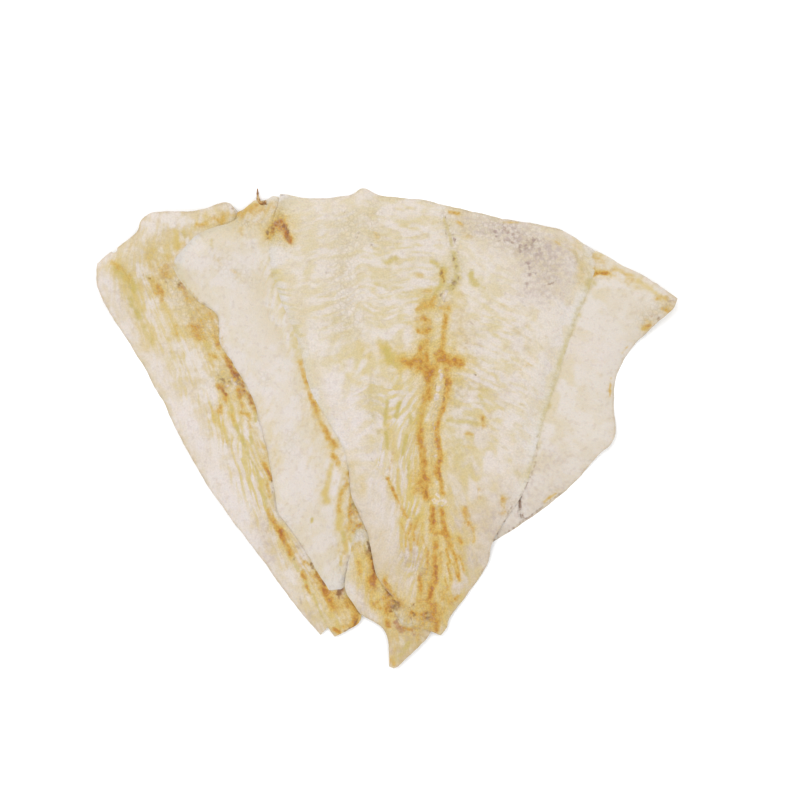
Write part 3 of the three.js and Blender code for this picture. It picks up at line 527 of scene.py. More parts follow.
LEFT_STAINS = [
    # the groove down from the nick, and the spots that carry it on
    ("roast", [(1.4, 0.6, -112.9, 68.6, -110.4, 66.5, -107.5, 63.7, -105.9, 61.2)]),
    ("olive", [(1.8, 1.1, -111, 66.5, -108, 63, -105, 60, -104, 57.5),
        (1.4, 0.95, -105.9, 52.9, -105.5, 50.5), (1.4, 0.95, -103.4, 48.4, -101.8, 45.9),
        (1.2, 0.5, -100.5, 43.5, -98.9, 38.5), (1.3, 0.45, -97.6, 36.5, -96.4, 33.2),
        (2, 0.3, -88, 31, -86, 26), (1, 0.5, -117, 68.2, -115.8, 67)]),
    ("yellow", [(1.1, 0.5, -104.2, 57.9, -104.6, 54.6),
        (4.7, 0.55, -111.5, 66, -105, 53, -97.5, 34.5),
        (7.5, 0.4, -93.5, 73.5, -92.5, 59, -86, 40.5), (6, 0.4, -74, 34.5, -62, 11.5)]),
    # the second groove
    ("olive", [(0.9, 0.7, -98.9, 62.4, -96.4, 60.8)]),
    ("dark", [(0.35, 1.1, -100.1, 63.7, -98.9, 62.8, -97.2, 61.6)]),
    ("roast", [(1.4, 0.7, -94.8, 57.9, -93.1, 56.6, -92.7, 52.5),
        (0.9, 0.6, -95.6, 55.4, -92.7, 55.8), (1.1, 0.65, -86.9, 42.2, -86.5, 38.9)]),
    ("yellow", [((1.4, 1.7), 0.75, -92.3, 51.3, -90.2, 48, -88.2, 43.9, -86.9, 39.8)]),
    # the broad stain along the middle fillet's edge
    ("roast", [(1.8, 0.6, -91.5, 66.5, -89.8, 62.4), (1.6, 0.7, -85.3, 58.3, -82, 52.9),
        ((3, 4.2), 0.55, -80, 52, -77, 47, -75, 40.5), (2.8, 0.6, -81, 44, -77.5, 38.5),
        (2.2, 0.65, -73.5, 49, -71.5, 44.5, -70.5, 40), (1.3, 0.8, -78.3, 41.4, -77, 38.1),
        (1.4, 0.95, -70.5, 37.3, -69.6, 33.2), (1.1, 0.6, -77.5, 37.3, -74.2, 37.7),
        (1.05, 0.6, -72.9, 30.7, -70.5, 29.5), (1.6, 0.35, -72.1, 27.4, -69.6, 24.1)]),
    ("olive", [(1.1, 0.7, -90.2, 63.2, -89.8, 61.6), (2.4, 0.6, -80.5, 47.5, -74.5, 46.5),
        (1.1, 0.9, -75, 35.6, -72.9, 33.6)]),
    ("dark", [(0.9, 1, -86.1, 60.8, -85.3, 59.1), (0.6, 0.7, -91.1, 60.4, -90.2, 59.5)]),
    ("red", [(1.2, 0.6, -85.3, 60.8, -83.2, 56.6), (0.9, 0.6, -69.6, 36.5, -69.2, 31.9)]),
    ("rough", [(6.5, 1, -87, 58.5, -80.5, 49.5, -74, 41.5)]),
    # the crackled dark edge
    ("roast", [(1.9, 1, -66.5, 29.5, -64.5, 25.5, -61.5, 21),
        (1.5, 0.75, -60.6, 19.2, -58.1, 14.6, -55.6, 10.9, -54, 8),
        (1.5, 0.9, -69.2, 17.5, -66.3, 13), (2.5, 0.4, -66.5, 18.5, -61.5, 16.5),
        (1.2, 0.95, -61.4, 16.3, -60.2, 13)]),
    ("red", [(1.5, 0.95, -66.3, 29, -64.7, 25.8, -62.2, 22),
        (1.2, 0.95, -59.7, 18.3, -57.7, 14.2, -55.2, 10.1), (1.2, 1, -68.8, 16.7, -66.7, 14.2)]),
    ("dark", [(1.05, 0.6, -63.4, 24.5, -61.4, 21.2, -59.7, 17.5),
        (0.7, 0.45, -59.3, 17.1, -56.4, 12.2, -54.4, 8.4), (1, 0.7, -69.6, 21.2, -68, 20),
        (0.8, 0.5, -69.2, 17.1, -66.7, 14.6), (1.8, 0.55, -66.5, 19.5, -62, 18.5)]),
    ("yellow", [(1.3, 0.9, -69.6, 20.8, -68, 20.4)]),
    ("bead", [(0.65, 0.8, -63.9, 20.4, -62.2, 17.5), (0.6, 0.7, -66.3, 18.3, -64.7, 17.5)]),
    ("rough", [((5, 4), 1, -67, 21.5, -59.5, 16)]),
    # the strands below it
    ("streak", [(6, 0.55, -70.5, 9.5, -61.5, -4.5, -54, -21), (5, 0.6, -60.5, -17, -51.5, -33.5)]),
    ("yellow", [(4.6, 0.3, -66.5, 9.5, -59.5, -2.5, -53, -21),
        (3.1, 0.25, -50.5, -33.5, -38.5, -55, -27, -71.5), (4, 0.25, -93.5, 40.5, -85.5, 27.5),
        (3.4, 0.35, -53, -37.5, -48, -51), (2.6, 0.5, -69.5, 2.5, -65.5, -4),
        (3, 0.4, -33.5, -73, -27, -83), (1.6, 0.85, -71.3, 4.7, -67.6, -0.2),
        (1.2, 1, -64.3, 6.4, -62.6, 1.9), (1.2, 0.85, -51.1, -21.6, -52.3, -24.5)]),
    # the first grey stroke is painted shade, a soft darker band beside the roast stroke
    ("membrane_and_shade", [(3.6, 0.7, -51.5, -40, -47.5, -52.5), (3, 0.4, -31.5, -77, -27, -84)]),
    ("olive", [(1, 0.9, -66.3, 13, -64.7, 10.5, -63.9, 8), (1.2, 0.6, -65.9, -3.5, -65.1, -7.2),
        (1.05, 1, -61.8, 1, -61, -1.4), (0.95, 0.9, -60.2, -2.7, -58.5, -7.6),
        (0.95, 0.85, -56, -1.4, -55.6, -6), (1, 0.8, -54.4, 6.4, -54, 2.7),
        (0.8, 0.7, -57.7, -9.7, -55.6, -13.8, -53.6, -17.1, -52.7, -21.6),
        (0.9, 0.7, -52.3, -25.3, -50.7, -28.2), (1.2, 0.6, -49.9, -29, -49.4, -32.8)]),
    ("roast", [(1.2, 0.7, -67.6, 13, -66.3, 10.5), (1.2, 0.9, -68.8, 8.9, -68.4, 6.4),
        (2.2, 0.4, -72.5, 7, -69, 6), (1.4, 0.4, -70, -1.9, -65.9, -6),
        (0.8, 0.6, -63.9, 5.6, -63, 3.1), (1.1, 0.85, -59.7, 6.4, -57.3, 5.6),
        (1.05, 0.55, -56.9, 4.7, -56, -1), (0.9, 0.6, -60.6, 12.6, -59.3, 8),
        (1.9, 0.5, -52, -7, -49.5, -9), (1.6, 0.5, -51.5, -12.6, -49, -13.4),
        (1.3, 1, -50.7, -15, -49, -17.9, -47.8, -20.8), (0.9, 0.7, -49, -23.3, -48.2, -27.8)]),
    ("pale", [(0.9, 1, -65.9, 9.7, -65.1, 6, -65.1, 0.2),
        (0.8, 1, -63, 13.4, -62.2, 7.2, -61.4, 3.5), (0.9, 1, -58.1, 2.7, -57.7, -3.5),
        (0.8, 1, -60.6, -6.4, -60.2, -11.7), (0.8, 0.9, -58.1, 11.3, -56.4, 7.2),
        (1, 0.7, -63.4, -0.6, -62.2, -5.1)]),
    ("bruise_and_shade", [(1.2, 0.3, -51.1, -10.9, -49, -10.9)]),
    ("red", [(0.9, 0.8, -49, -17.5, -47.8, -20.4)]),
    ("dark", [(0.5, 0.9, -47.4, -21.2, -47, -25.8)]),
    # the narrow dark bands down to the tail
    ("roast", [(1.5, 0.9, -48.6, -34, -47, -37.7, -45.7, -40.6),
        (1.5, 1, -45.3, -41, -43.7, -43.5, -42, -46.8), (1, 0.4, -43.7, -40.2, -40, -46.3),
        (1.15, 0.95, -40.8, -48.4, -39.6, -51.7), (1, 0.75, -35, -59.5, -33.8, -62),
        (1, 0.75, -33, -64.9, -31.7, -67.4), (0.8, 0.6, -33.8, -55, -31.3, -56.6),
        (3.2, 0.4, -38.5, -50, -29.5, -62.5, -20, -69),
        (1.6, 1, -28.8, -60.4, -26.8, -63.7, -25.1, -67.4),
        (1.3, 0.85, -25.1, -67.8, -23.5, -71.5)]),
    ("red", [(1, 0.6, -47.8, -37.3, -46.6, -40.2), (1.1, 0.85, -44.1, -41.8, -43.3, -45.1),
        (1.2, 0.9, -28.4, -61.2, -26.4, -64.5, -25.5, -67)]),
    ("olive", [(0.9, 0.6, -46.6, -38.9, -44.9, -42.6), (1.1, 0.85, -37.5, -55.8, -36.3, -58.3),
        (1.1, 1, -33.4, -62.8, -32.1, -65.7),
        (0.6, 0.75, -30.5, -68.2, -28.8, -72.3, -27.2, -76.4, -25.5, -79.7)]),
    ("yellow", [(1.05, 0.9, -39.6, -52.1, -37.9, -55)]),
    ("dark", [(0.7, 0.6, -37.9, -53.4, -37.5, -54.6),
        (0.5, 0.5, -37.1, -48.4, -34.2, -52.5, -32.1, -55.4), (1, 1.1, -31.3, -55.4, -30.5, -57.1),
        (0.7, 0.8, -29.7, -58.3, -28.8, -60.4), (0.5, 0.7, -27.6, -61.6, -25.1, -65.7)]),
    ("pale", [(1, 0.8, -35.8, -51.7, -33.4, -58.3, -29.3, -64.1, -26.8, -70.7)]),
    # the lobe at the tail
    ("roast", [(1.6, 0.95, -23.1, -71.1, -22.7, -73.5), (1.5, 1, -16.9, -71.1, -16.5, -73.1),
        (1, 0.9, -14.4, -71.5, -12.4, -74), (1.4, 0.7, -12.8, -78.1, -12.8, -81),
        (1.4, 0.8, -17.7, -81.8, -14.4, -81.4), (1.5, 1, -22.2, -83.4, -20.2, -84.3),
        (4.6, 0.4, -21.5, -72.5, -16.5, -78), (2.3, 0.9, -14, -72.5, -12.5, -79)]),
    ("red", [(1, 0.5, -23.1, -71.5, -22.7, -73.1), (1.9, 1, -19, -66.5, -19.5, -69)]),
    ("yellow", [(1.6, 0.85, -23.1, -74.8, -22.7, -76.8)]),
    ("dark", [(1.4, 1.3, -19.4, -65.7, -19.4, -68.2), (0.7, 0.5, -11.9, -74.4, -11.5, -77.7),
        # the next stroke is painted shade along the lobe's lower rim
        (0.55, 0.9, -20.6, -85.9, -16.9, -83.4, -12.4, -79.7, -11.5, -75.6)]),
    ("olive", [(1.4, 1, -13.2, -74.4, -11.9, -76.8), (1.2, 0.7, -20.6, -78.9, -20.2, -82.2),
        (1.5, 0.35, -31.3, -75.2, -30.1, -78.1)]),
    ("membrane_and_shade", [(3, 0.5, -13, -74, -12, -79.5), (4, 0.5, -37.5, -48, -35, -54)]),
    ("pale", [(1.3, 0.9, -19.4, -72.7, -19, -75.2), (1.7, 0.8, -16.9, -74.8, -17.3, -79.3)]),
    ("bruise_and_shade", [(0.85, 0.45, -36.3, -69.4, -35.4, -72.3)]),
    # the collar
    ("yellow", [(1.6, 0.9, -86.9, 80.5, -86.1, 75.2),
        (3.1, 0.3, -90.5, 71, -86, 77, -77, 83.5, -64, 87.5), ((4, 3), 0.4, -97.5, 78.5, -96, 70)]),
    ("olive", [(1.2, 0.6, -83.6, 80.5, -82.8, 78.5)]),
    ("roast", [(1.4, 0.7, -77.9, 83.4, -74.6, 84.3), (1.9, 0.7, -71.5, 86.5, -67, 85.5),
        (1.7, 0.5, -66.3, 88, -61.4, 87.1), (4, 0.25, -104, 73.5, -94.5, 68.5),
        (4.5, 0.35, -98.5, 59.5, -87, 68.5, -83, 75)]),
    ("dark", [(0.6, 0.7, -65.9, 91.7, -63.9, 90.8, -61.4, 88.8)]),
    ("rough", [(5.5, 0.6, -97.5, 73.5, -91.5, 65.5)]),
    ("streak", [(6.5, 0.35, -104, 61, -91.5, 36.5, -83, 16)]),
    ("bruise_and_shade", [(0.7, 0.5, -96.4, 25.8, -95.6, 25.3)]),
    ("pale", [(4.6, 0.6, -116, 63, -110, 51, -97.5, 30.5, -83, 3.5, -64, -33.5, -40, -70),
        (5, 0.45, -81, 3.5, -71, -15, -58.5, -35.5)]),
]

TAIL_STAINS = TORN_SPOTS + [
    ("flush", [(6, 1.3, -17.5, -48, -12, -42, -6, -48),
        (5, 0.9, -15, -48, -17.5, -60.5, -15, -68.5)]),
    ("rough", [(3, 1, -14, -42.5, -9.5, -42), (2.5, 0.8, -6, -50, 2, -72.5),
        (4, 0.8, 5.5, -83, 11.5, -85)]),
    ("roast", [(0.6, 0.8, -14, -43.1, -12.8, -41, -10.7, -40.6, -8.7, -41.8),
        ((1.9, 2.4), 1.2, -6.5, -52.5, -6, -57.5, -6, -62.5), (1.8, 0.7, -4.5, -51.7, -3.3, -62.4),
        ((2, 1.6), 0.65, -6.5, -65.5, -6, -70, -5, -73.5), (1.4, 0.8, -11.9, -55.4, -11.1, -59.9),
        (3, 0.25, -11, -54, -8.5, -66.5), (3.3, 0.6, -16, -49, -8, -47.5),
        (1.8, 0.85, -0.8, -69.8, 0.4, -75.2), (1.4, 0.75, -0.4, -75.6, 0.8, -81.4),
        (1, 0.6, -3.7, -71.5, -2.9, -74), (1.2, 0.6, 1.6, -95.8, 2.9, -97.4),
        (3.2, 0.3, 3.5, -85.5, 3.5, -95.5)]),
    ("pale", [(2.1, 1, -11, -44.5, -12, -50), (3, 0.7, -15, -65.5, -11, -71.5, -5.5, -77)]),
    ("dark", [(0.85, 1.1, -7.8, -47.2, -7, -50.5), (0.7, 0.9, -6.6, -52.5, -6.2, -53.8),
        (0.7, 0.8, -5.4, -56.2, -4.9, -60.4), (0.7, 0.9, -0.4, -64.5, 1.6, -68.6, 3.7, -72.3)]),
    ("red", [(1.4, 0.9, -8.7, -51.3, -6.6, -50.1),
        ((1.3, 1.7), 0.9, -5.8, -55, -5.4, -60.4, -5.8, -65.7)]),
    ("yellow", [(1.6, 0.95, -12.4, -52.5, -11.9, -57.1), (1.3, 0.6, -11.9, -61.2, -11.5, -65.3),
        (1.5, 0.7, 2.1, -90.4, 2.5, -95.4)]),
    ("olive", [(0.9, 0.8, -9.9, -55, -9.9, -58.7), (1.15, 0.85, 9.1, -88.4, 6.2, -92.5, 4.1, -95.8),
        (3, 0.4, 4.5, -89.5, 3.5, -96)]),
    ("membrane_and_shade", [(2.4, 0.6, -3.5, -59, -6, -67.5), (3, 0.5, -12.5, -54, -9.5, -75.5),
        (4, 0.8, 3, -91.5, 3.5, -98)]),
    ("streak", [(5, 0.7, -10.5, -54, -4, -72.5)]),
]

RIGHT_STAINS = RIGHT_JOIN + [
    ("yellow", [((5, 4), 0.4, 84.5, 72.5, 92.5, 67.5, 104, 59),
        ((1.5, 1.2), 0.6, 103.4, 60.8, 109.2, 56.6, 114.1, 53.8)]),
    ("roast", [(3.2, 0.4, 86, 70, 92.5, 66, 100, 62),
        (1.1, 0.95, 84.5, 63.2, 87.8, 64.1, 90.6, 64.1), (1.1, 0.6, 111.2, 53.4, 114.5, 54.2),
        (1.3, 0.8, 113.7, 49.2, 115.8, 48), (3, 0.25, 106.5, 44, 111.5, 48, 116, 52),
        (1.1, 0.8, 105.9, 41, 108.4, 42.6), (0.6, 0.5, 97.2, 31.1, 99.3, 33.6),
        (0.6, 0.5, 92.3, 20.8, 91.9, 13.4), (0.8, 0.7, 65.1, -30.3, 69.6, -27)]),
    ("dark", [(0.6, 0.45, 85.7, 63.7, 88.6, 64.1), (0.7, 0.8, 111.7, 45.1, 113.7, 46.8)]),
    ("olive", [(1.3, 0.5, 84.5, 61.2, 86.1, 59.5)]),
    ("red", [(0.8, 0.6, 108.4, 45.5, 110.8, 47.6)]),
    ("rough", [(4, 1, 106.5, 45.5, 111, 48.5, 116, 51.5)]),
    ("bruise_and_shade", [(1.1, 0.5, 115.4, 51.7, 117, 52.9)]),
    # the split; its dark strokes are painted shade in the crack, and the last of them painted shade
    # along the right fillet's lower rim
    ("dark", [(0.85, 1.5, 54.4, -28.6, 54.4, -31.1), (0.8, 1.5, 54.4, -32.3, 54.8, -34),
        (0.7, 1.1, 55.2, -35.2, 55.6, -37.3),
        (0.6, 0.7, 43.7, -46.8, 50.3, -42.6, 56, -38.5, 65.5, -31.5, 72.5, -26.2)]),
    ("bruise_and_shade", [(1.5, 0.4, 53.6, -28.6, 55.2, -36)]),
    ("pale", [(8, 0.6, 73.5, 34.5, 88, 31.5)]),
    # painted shade: grey strokes that darken the flesh round the split and the lower rim
    ("membrane_and_shade", [(8, 0.45, 55, -30.5, 67, -13), (2, 0.35, 44.5, -44.5, 55.5, -36.5, 72, -24)]),
]


# ---------------------------------------------------------------- curves, noise and the height map


def smooth_line(points, count):
    """A centripetal Catmull-Rom curve through the points, as count samples spaced evenly along it."""
    p = np.array(points, float)
    p = np.vstack([2 * p[0] - p[1], p, 2 * p[-1] - p[-2]])
    knots = np.concatenate([[0], np.cumsum(np.sqrt(np.linalg.norm(np.diff(p, axis=0), axis=1)))])
    runs = []
    for i in range(1, len(p) - 2):
        p0, p1, p2, p3 = p[i - 1:i + 3]
        t0, t1, t2, t3 = knots[i - 1:i + 3]
        t = np.linspace(t1, t2, SPAN_SAMPLES)[:-1, None]
        a1 = (t1 - t) / (t1 - t0) * p0 + (t - t0) / (t1 - t0) * p1
        a2 = (t2 - t) / (t2 - t1) * p1 + (t - t1) / (t2 - t1) * p2
        a3 = (t3 - t) / (t3 - t2) * p2 + (t - t2) / (t3 - t2) * p3
        b1 = (t2 - t) / (t2 - t0) * a1 + (t - t0) / (t2 - t0) * a2
        b2 = (t3 - t) / (t3 - t1) * a2 + (t - t1) / (t3 - t1) * a3
        runs.append((t2 - t) / (t2 - t1) * b1 + (t - t1) / (t2 - t1) * b2)
    line = np.vstack(runs + [p[-2][None]])
    length = np.concatenate([[0], np.cumsum(np.linalg.norm(np.diff(line, axis=0), axis=1))])
    at = np.linspace(0, length[-1], count)
    return np.column_stack([np.interp(at, length, line[:, 0]), np.interp(at, length, line[:, 1])])


def distance_to(line, x, y):
    """Distance from each point to a polyline, and how far along it the nearest point is, 0 to 1."""
    best = np.full(x.shape, np.inf)
    where = np.zeros(x.shape)
    for i in range(len(line) - 1):
        run = line[i + 1] - line[i]
        t = ((x - line[i, 0]) * run[0] + (y - line[i, 1]) * run[1]) / (run @ run)
        t = np.clip(t, 0, 1)
        d = np.hypot(x - line[i, 0] - t * run[0], y - line[i, 1] - t * run[1])
        where = np.where(d < best, (i + t) / (len(line) - 1), where)
        best = np.minimum(best, d)
    return best, where


def ease(low, high, value):
    """0 below low, 1 above high, and an S-curve between them."""
    t = np.clip((value - low) / (high - low), 0, 1)
    return t * t * (3 - 2 * t)


def lattice_noise(x, y, seed):
    """Smooth noise between -1 and 1: hashed values on a unit lattice, blended with an S-curve."""
    xi = np.floor(x)
    yi = np.floor(y)

    def corner(dx, dy):
        h = np.sin((xi + dx) * SCATTER[0] + (yi + dy) * SCATTER[1] + seed * SCATTER[2]) * SCATTER[3]
        return 2 * (h - np.floor(h)) - 1

    sx = ease(0, 1, x - xi)
    sy = ease(0, 1, y - yi)
    low = corner(0, 0) * (1 - sx) + corner(1, 0) * sx
    high = corner(0, 1) * (1 - sx) + corner(1, 1) * sx
    return low * (1 - sy) + high * sy


def rough_noise(x, y, size, seed, octaves=3):
    """Lattice noise summed over octaves, each half the size and half as strong as the last."""
    total = np.zeros(np.shape(x))
    for k in range(octaves):
        turn = OCTAVE_TURN[1] * k + OCTAVE_TURN[0]
        u = (x * math.cos(turn) - y * math.sin(turn)) * 2**k / size
        v = (x * math.sin(turn) + y * math.cos(turn)) * 2**k / size
        total += lattice_noise(u, v, seed + OCTAVE_SEED * k) / 2**k
    return total / 1.5


def layered_noise(x, y, layers, seed, octaves=3):
    """Rough noise of several sizes, summed; each layer is its strength and its size."""
    return sum(strength * rough_noise(x, y, size, seed + k, octaves)
               for k, (strength, size) in enumerate(layers))


def fibre_noise(run, origin, size, seed):
    """Noise drawn out along the muscle fibres: lattice noise of two sizes in fibre coordinates."""
    u = run / size[0]
    v = origin / size[1]
    fine = lattice_noise(2 * u, 2 * v, seed + 5)
    return (lattice_noise(u, v, seed) + FINE_FIBRE * fine) / FIBRE_LEVEL


def swell(x, y, length, phase):
    """An uneven swell between -1 and 1: the mean of three sine waves in different directions."""
    k = 2 * math.pi / length
    return sum(np.sin(times * k * (way_x * x + way_y * y) + turn * phase)
               for times, (way_x, way_y), turn in WAVES) / len(WAVES)


def flat_bed():
    """The first height map: the table, raised where the dried sheet arches off it."""
    x = np.arange(-MAP_HALF[0], MAP_HALF[0] + CELL, CELL)
    y = np.arange(-MAP_HALF[1], MAP_HALF[1] + CELL, CELL)
    gx, gy = np.meshgrid(x, y)
    rise = np.maximum(0, swell(gx, gy, WARP_LENGTH, WARP_PHASE) - WARP_FLAT)
    return WARP_HEIGHT * rise**2 / (rise + WARP_FLAT)


def shifted(grid, dx, dy):
    """The map moved by whole cells, its border values repeated."""
    rows = np.clip(np.arange(grid.shape[0]) + dy, 0, grid.shape[0] - 1)
    columns = np.clip(np.arange(grid.shape[1]) + dx, 0, grid.shape[1] - 1)
    return grid[rows][:, columns]


def disc(radius):
    """The steps, in cells, from a cell to each one within the radius."""
    steps = range(-radius, radius + 1)
    return [(dx, dy) for dx in steps for dy in steps if dx * dx + dy * dy <= radius * radius]


def widened(grid, radius):
    """The map with each cell raised to the highest one within the radius."""
    return np.maximum.reduce([shifted(grid, dx, dy) for dx, dy in disc(radius)])


def smoothed(grid, radius):
    """The map with each cell at the mean of those within the radius."""
    return sum(shifted(grid, dx, dy) for dx, dy in disc(radius)) / len(disc(radius))


def map_at(grid, x, y):
    """The height map at any points, blended between its four nearest cells."""
    u = (x + MAP_HALF[0]) / CELL
    v = (y + MAP_HALF[1]) / CELL
    i = np.floor(u).astype(int)
    j = np.floor(v).astype(int)
    fu = u - i
    fv = v - j
    low = grid[j, i] * (1 - fu) + grid[j, i + 1] * fu
    high = grid[j + 1, i] * (1 - fu) + grid[j + 1, i + 1] * fu
    return low * (1 - fv) + high * fv


def raise_bed(bed, x, y, z):
    """Raises each cell of the height map to the highest point over it, plus the gap."""
    i = np.rint((x + MAP_HALF[0]) / CELL).astype(int)
    j = np.rint((y + MAP_HALF[1]) / CELL).astype(int)
    np.maximum.at(bed, (j, i), z + GAP)


# ---------------------------------------------------------------- the fillets


def half_patch(seam, side, tail, head, rows, across):
    """Coons patch: seam blended to side, plus tail blended to head, less the blend of the corners."""
    u = np.linspace(0, 1, rows)[:, None, None]
    v = across[None, :, None]
    near = smooth_line(seam, rows)[:, None]
    far = smooth_line(side, rows)[:, None]
    pick = np.rint(across * (END_SAMPLES - 1)).astype(int)
    tail_line = smooth_line([seam[0], *tail, side[0]], END_SAMPLES)
    head_line = smooth_line([seam[-1], *head, side[-1]], END_SAMPLES)
    ends = (1 - u) * tail_line[pick][None] + u * head_line[pick][None]
    tail_corners = (1 - v) * tail_line[0] + v * tail_line[-1]
    head_corners = (1 - v) * head_line[0] + v * head_line[-1]
    return (1 - v) * near + v * far + ends - (1 - u) * tail_corners - u * head_corners


def plan_grid(fillet):
    """Plan points of a fillet: rows from tail to head, columns from the left over the seam."""
    rows, left, right = fillet["cells"]
    across_left = (np.arange(left, 0, -1) / left) ** SEAM_CROWDING
    across_right = (np.arange(0, right + 1) / right) ** SEAM_CROWDING
    a = half_patch(fillet["seam"], fillet["left"], fillet.get("tail_left", []),
                   fillet["head_left"], rows + 1, across_left)
    b = half_patch(fillet["seam"], fillet["right"], [], fillet["head_right"],
                   rows + 1, across_right)
    return np.concatenate([a, b], axis=1)


def ragged(x, y, phase):
    """Plan points pushed about by noise, so that a rim runs as unevenly as torn, dried flesh."""
    pushed_x = x + layered_noise(x, y, RAGGED, phase + 1, 2)
    pushed_y = y + layered_noise(x, y, RAGGED, phase + 3, 2)
    return pushed_x, pushed_y


def rim_lines(fillet):
    """The four edges of a fillet as polylines. The tail and the head run over the seam's ends."""
    seam = fillet["seam"]
    left = fillet["left"]
    right = fillet["right"]
    tail_left = fillet.get("tail_left", [])[::-1]
    head_left = fillet["head_left"][::-1]
    tail = [smooth_line([left[0], *tail_left, seam[0]], TAIL_SAMPLES[0]),
            smooth_line([seam[0], right[0]], TAIL_SAMPLES[1])[1:]]
    head = [smooth_line([left[-1], *head_left, seam[-1]], HEAD_SAMPLES[0]),
            smooth_line([seam[-1], *fillet["head_right"], right[-1]], HEAD_SAMPLES[1])[1:]]
    return {
        "left": smooth_line(left, SIDE_SAMPLES),
        "right": smooth_line(right, SIDE_SAMPLES),
        "tail": np.vstack(tail),
        "head": np.vstack(head),
    }


def band_slant(start, length, slant, turn):
    """How steeply the muscle band that starts at a place on the seam leans, and how that changes.

    It goes from the head's slant to the tail's between the two places that turn gives, along the
    S-curve 3 t^2 - 2 t^3. The change is that curve's slope.
    """
    reach = turn[0] - turn[1]
    t = np.clip((turn[0] - start / length) / reach, 0, 1)
    rise = slant[1] - slant[0]
    change = -rise * 6 * t * (1 - t) / (reach * length)
    return slant[0] + rise * t * t * (3 - 2 * t), change


def band_origin(along, across, slant, turn):
    """Where on the seam the muscle band through a point starts, spaced evenly, and its slant.

    A band that starts at s runs out from the seam and down the body: at a distance d it is at
    s - m(s) d, where m is its slant. Newton's method solves that for s. Bands that lean lie closer
    together by sqrt(1 + m^2), so the place returned is the integral of ds / sqrt(1 + m^2).
    """
    length = along.max()
    aside = np.abs(across)
    sides = [np.where(across < 0, left, right) for left, right in zip(*turn)]
    start = along.copy()
    for _ in range(NEWTON_STEPS):
        m, change = band_slant(start, length, slant, sides)
        start = start - (start - m * aside - along) / (1 - change * aside)
    seam = np.linspace(start.min(), start.max(), PLACE_SAMPLES)
    lean, _ = band_slant(seam, length, slant, [(left + right) / 2 for left, right in zip(*turn)])
    even = np.cumsum(1 / np.sqrt(1 + lean**2)) * (seam[1] - seam[0])
    return np.interp(start, seam, even), m


def curl_lift(curls, x, y):
    """How far curled corners lift the sheet: for each one a bell with its foot cut off.

    The bell is exp(-(d / radius)^2) of the distance d from the corner.
    """
    lift = np.zeros(x.shape)
    for cx, cy, radius, height in curls:
        near = np.exp(-((x - cx) ** 2 + (y - cy) ** 2) / radius**2)
        lift += height * np.maximum(0, near - LIFT_CUT) / (1 - LIFT_CUT)
    return lift


def both_ends(value):
    """What a stroke gives as one number or as a pair, as its values at the start and at the end."""
    return value if isinstance(value, tuple) else (value, value)


def stain_masks(stains, x, y, phase):
    """One mask for each kind of stain.

    A stroke fades from its middle line as exp(-(d / width)^2) of a distance d that noise has bent,
    and strokes of a kind add up as 1 - (1 - a)(1 - b).
    """
    run_x = layered_noise(x, y, STAIN_RUN, phase + 21)
    run_y = layered_noise(x, y, STAIN_RUN, phase + 23)
    patchy = STAIN_STRENGTH + layered_noise(x, y, STAIN_PATCHES, phase + 25)
    masks = {kind: np.zeros(x.shape) for kind in STAIN_KINDS}

    def add(kind, width, strength):
        stroke = np.clip(strength * np.exp(-((away / width) ** 2)), 0, 1)
        masks[kind] = 1 - (1 - masks[kind]) * (1 - stroke)

    for kind, strokes in stains:
        for width, strength, *places in strokes:
            points = np.reshape(places, (-1, 2))
            wide_start, wide_end = both_ends(width)
            strong_start, strong_end = both_ends(strength)
            run = min(STAIN_RUN_LIMIT, STAIN_RUN_SHARE * wide_start)
            line = smooth_line(points, 2 + STAIN_SAMPLES * (len(points) - 1))
            away, at = distance_to(line, x + run * run_x, y + run * run_y)
            width = wide_start + (wide_end - wide_start) * at
            strength = (strong_start + (strong_end - strong_start) * at) * patchy
            add(kind, width, strength)
            if kind == "roast":
                add("halo", HALO_WIDTH * width, HALO_STRENGTH * strength)
    return masks


def bristle_tube(bed):
    """Points and triangles of the bone bristle, a closed tapering tube lying on the height map."""
    line = smooth_line(BRISTLE, BRISTLE_RINGS)
    at = np.linspace(0, 1, BRISTLE_RINGS)
    radius = BRISTLE_RADIUS[0] + (BRISTLE_RADIUS[1] - BRISTLE_RADIUS[0]) * at
    radius *= 1 + BRISTLE_BUMPS[0] * lattice_noise(at * BRISTLE_BUMPS[1], at * 0, 3.0)
    tangent = np.gradient(line, axis=0)
    tangent /= np.linalg.norm(tangent, axis=1)[:, None]
    below = map_at(bed, line[:, 0], line[:, 1]).min()
    middle = below + BRISTLE_HEIGHT[0] + (BRISTLE_HEIGHT[1] - BRISTLE_HEIGHT[0]) * at
    turn = np.linspace(0, 2 * math.pi, BRISTLE_SIDES, endpoint=False)
    across = np.cos(turn)[None] * radius[:, None]
    x = line[:, :1] - tangent[:, 1:] * across
    y = line[:, 1:] + tangent[:, :1] * across
    z = middle[:, None] + np.sin(turn)[None] * radius[:, None]
    points = np.stack([x, y, z], axis=-1).reshape(-1, 3)
    ends = np.array([[*line[0], middle[0]], [*line[-1], middle[-1]]])
    ring = np.arange(BRISTLE_SIDES)
    after = (ring + 1) % BRISTLE_SIDES
    rows = np.arange(BRISTLE_RINGS - 1)[:, None] * BRISTLE_SIDES
    a = rows + ring
    b = rows + after
    sides = [np.stack([a, b, b + BRISTLE_SIDES], -1),
             np.stack([a, b + BRISTLE_SIDES, a + BRISTLE_SIDES], -1)]
    last = (BRISTLE_RINGS - 1) * BRISTLE_SIDES
    caps = [np.stack([after, ring, ring * 0 + len(points)], -1),
            np.stack([ring + last, after + last, ring * 0 + len(points) + 1], -1)]
    faces = np.concatenate([f.reshape(-1, 3) for f in sides + caps])
    return np.concatenate([points, ends]), faces[:, ::-1]


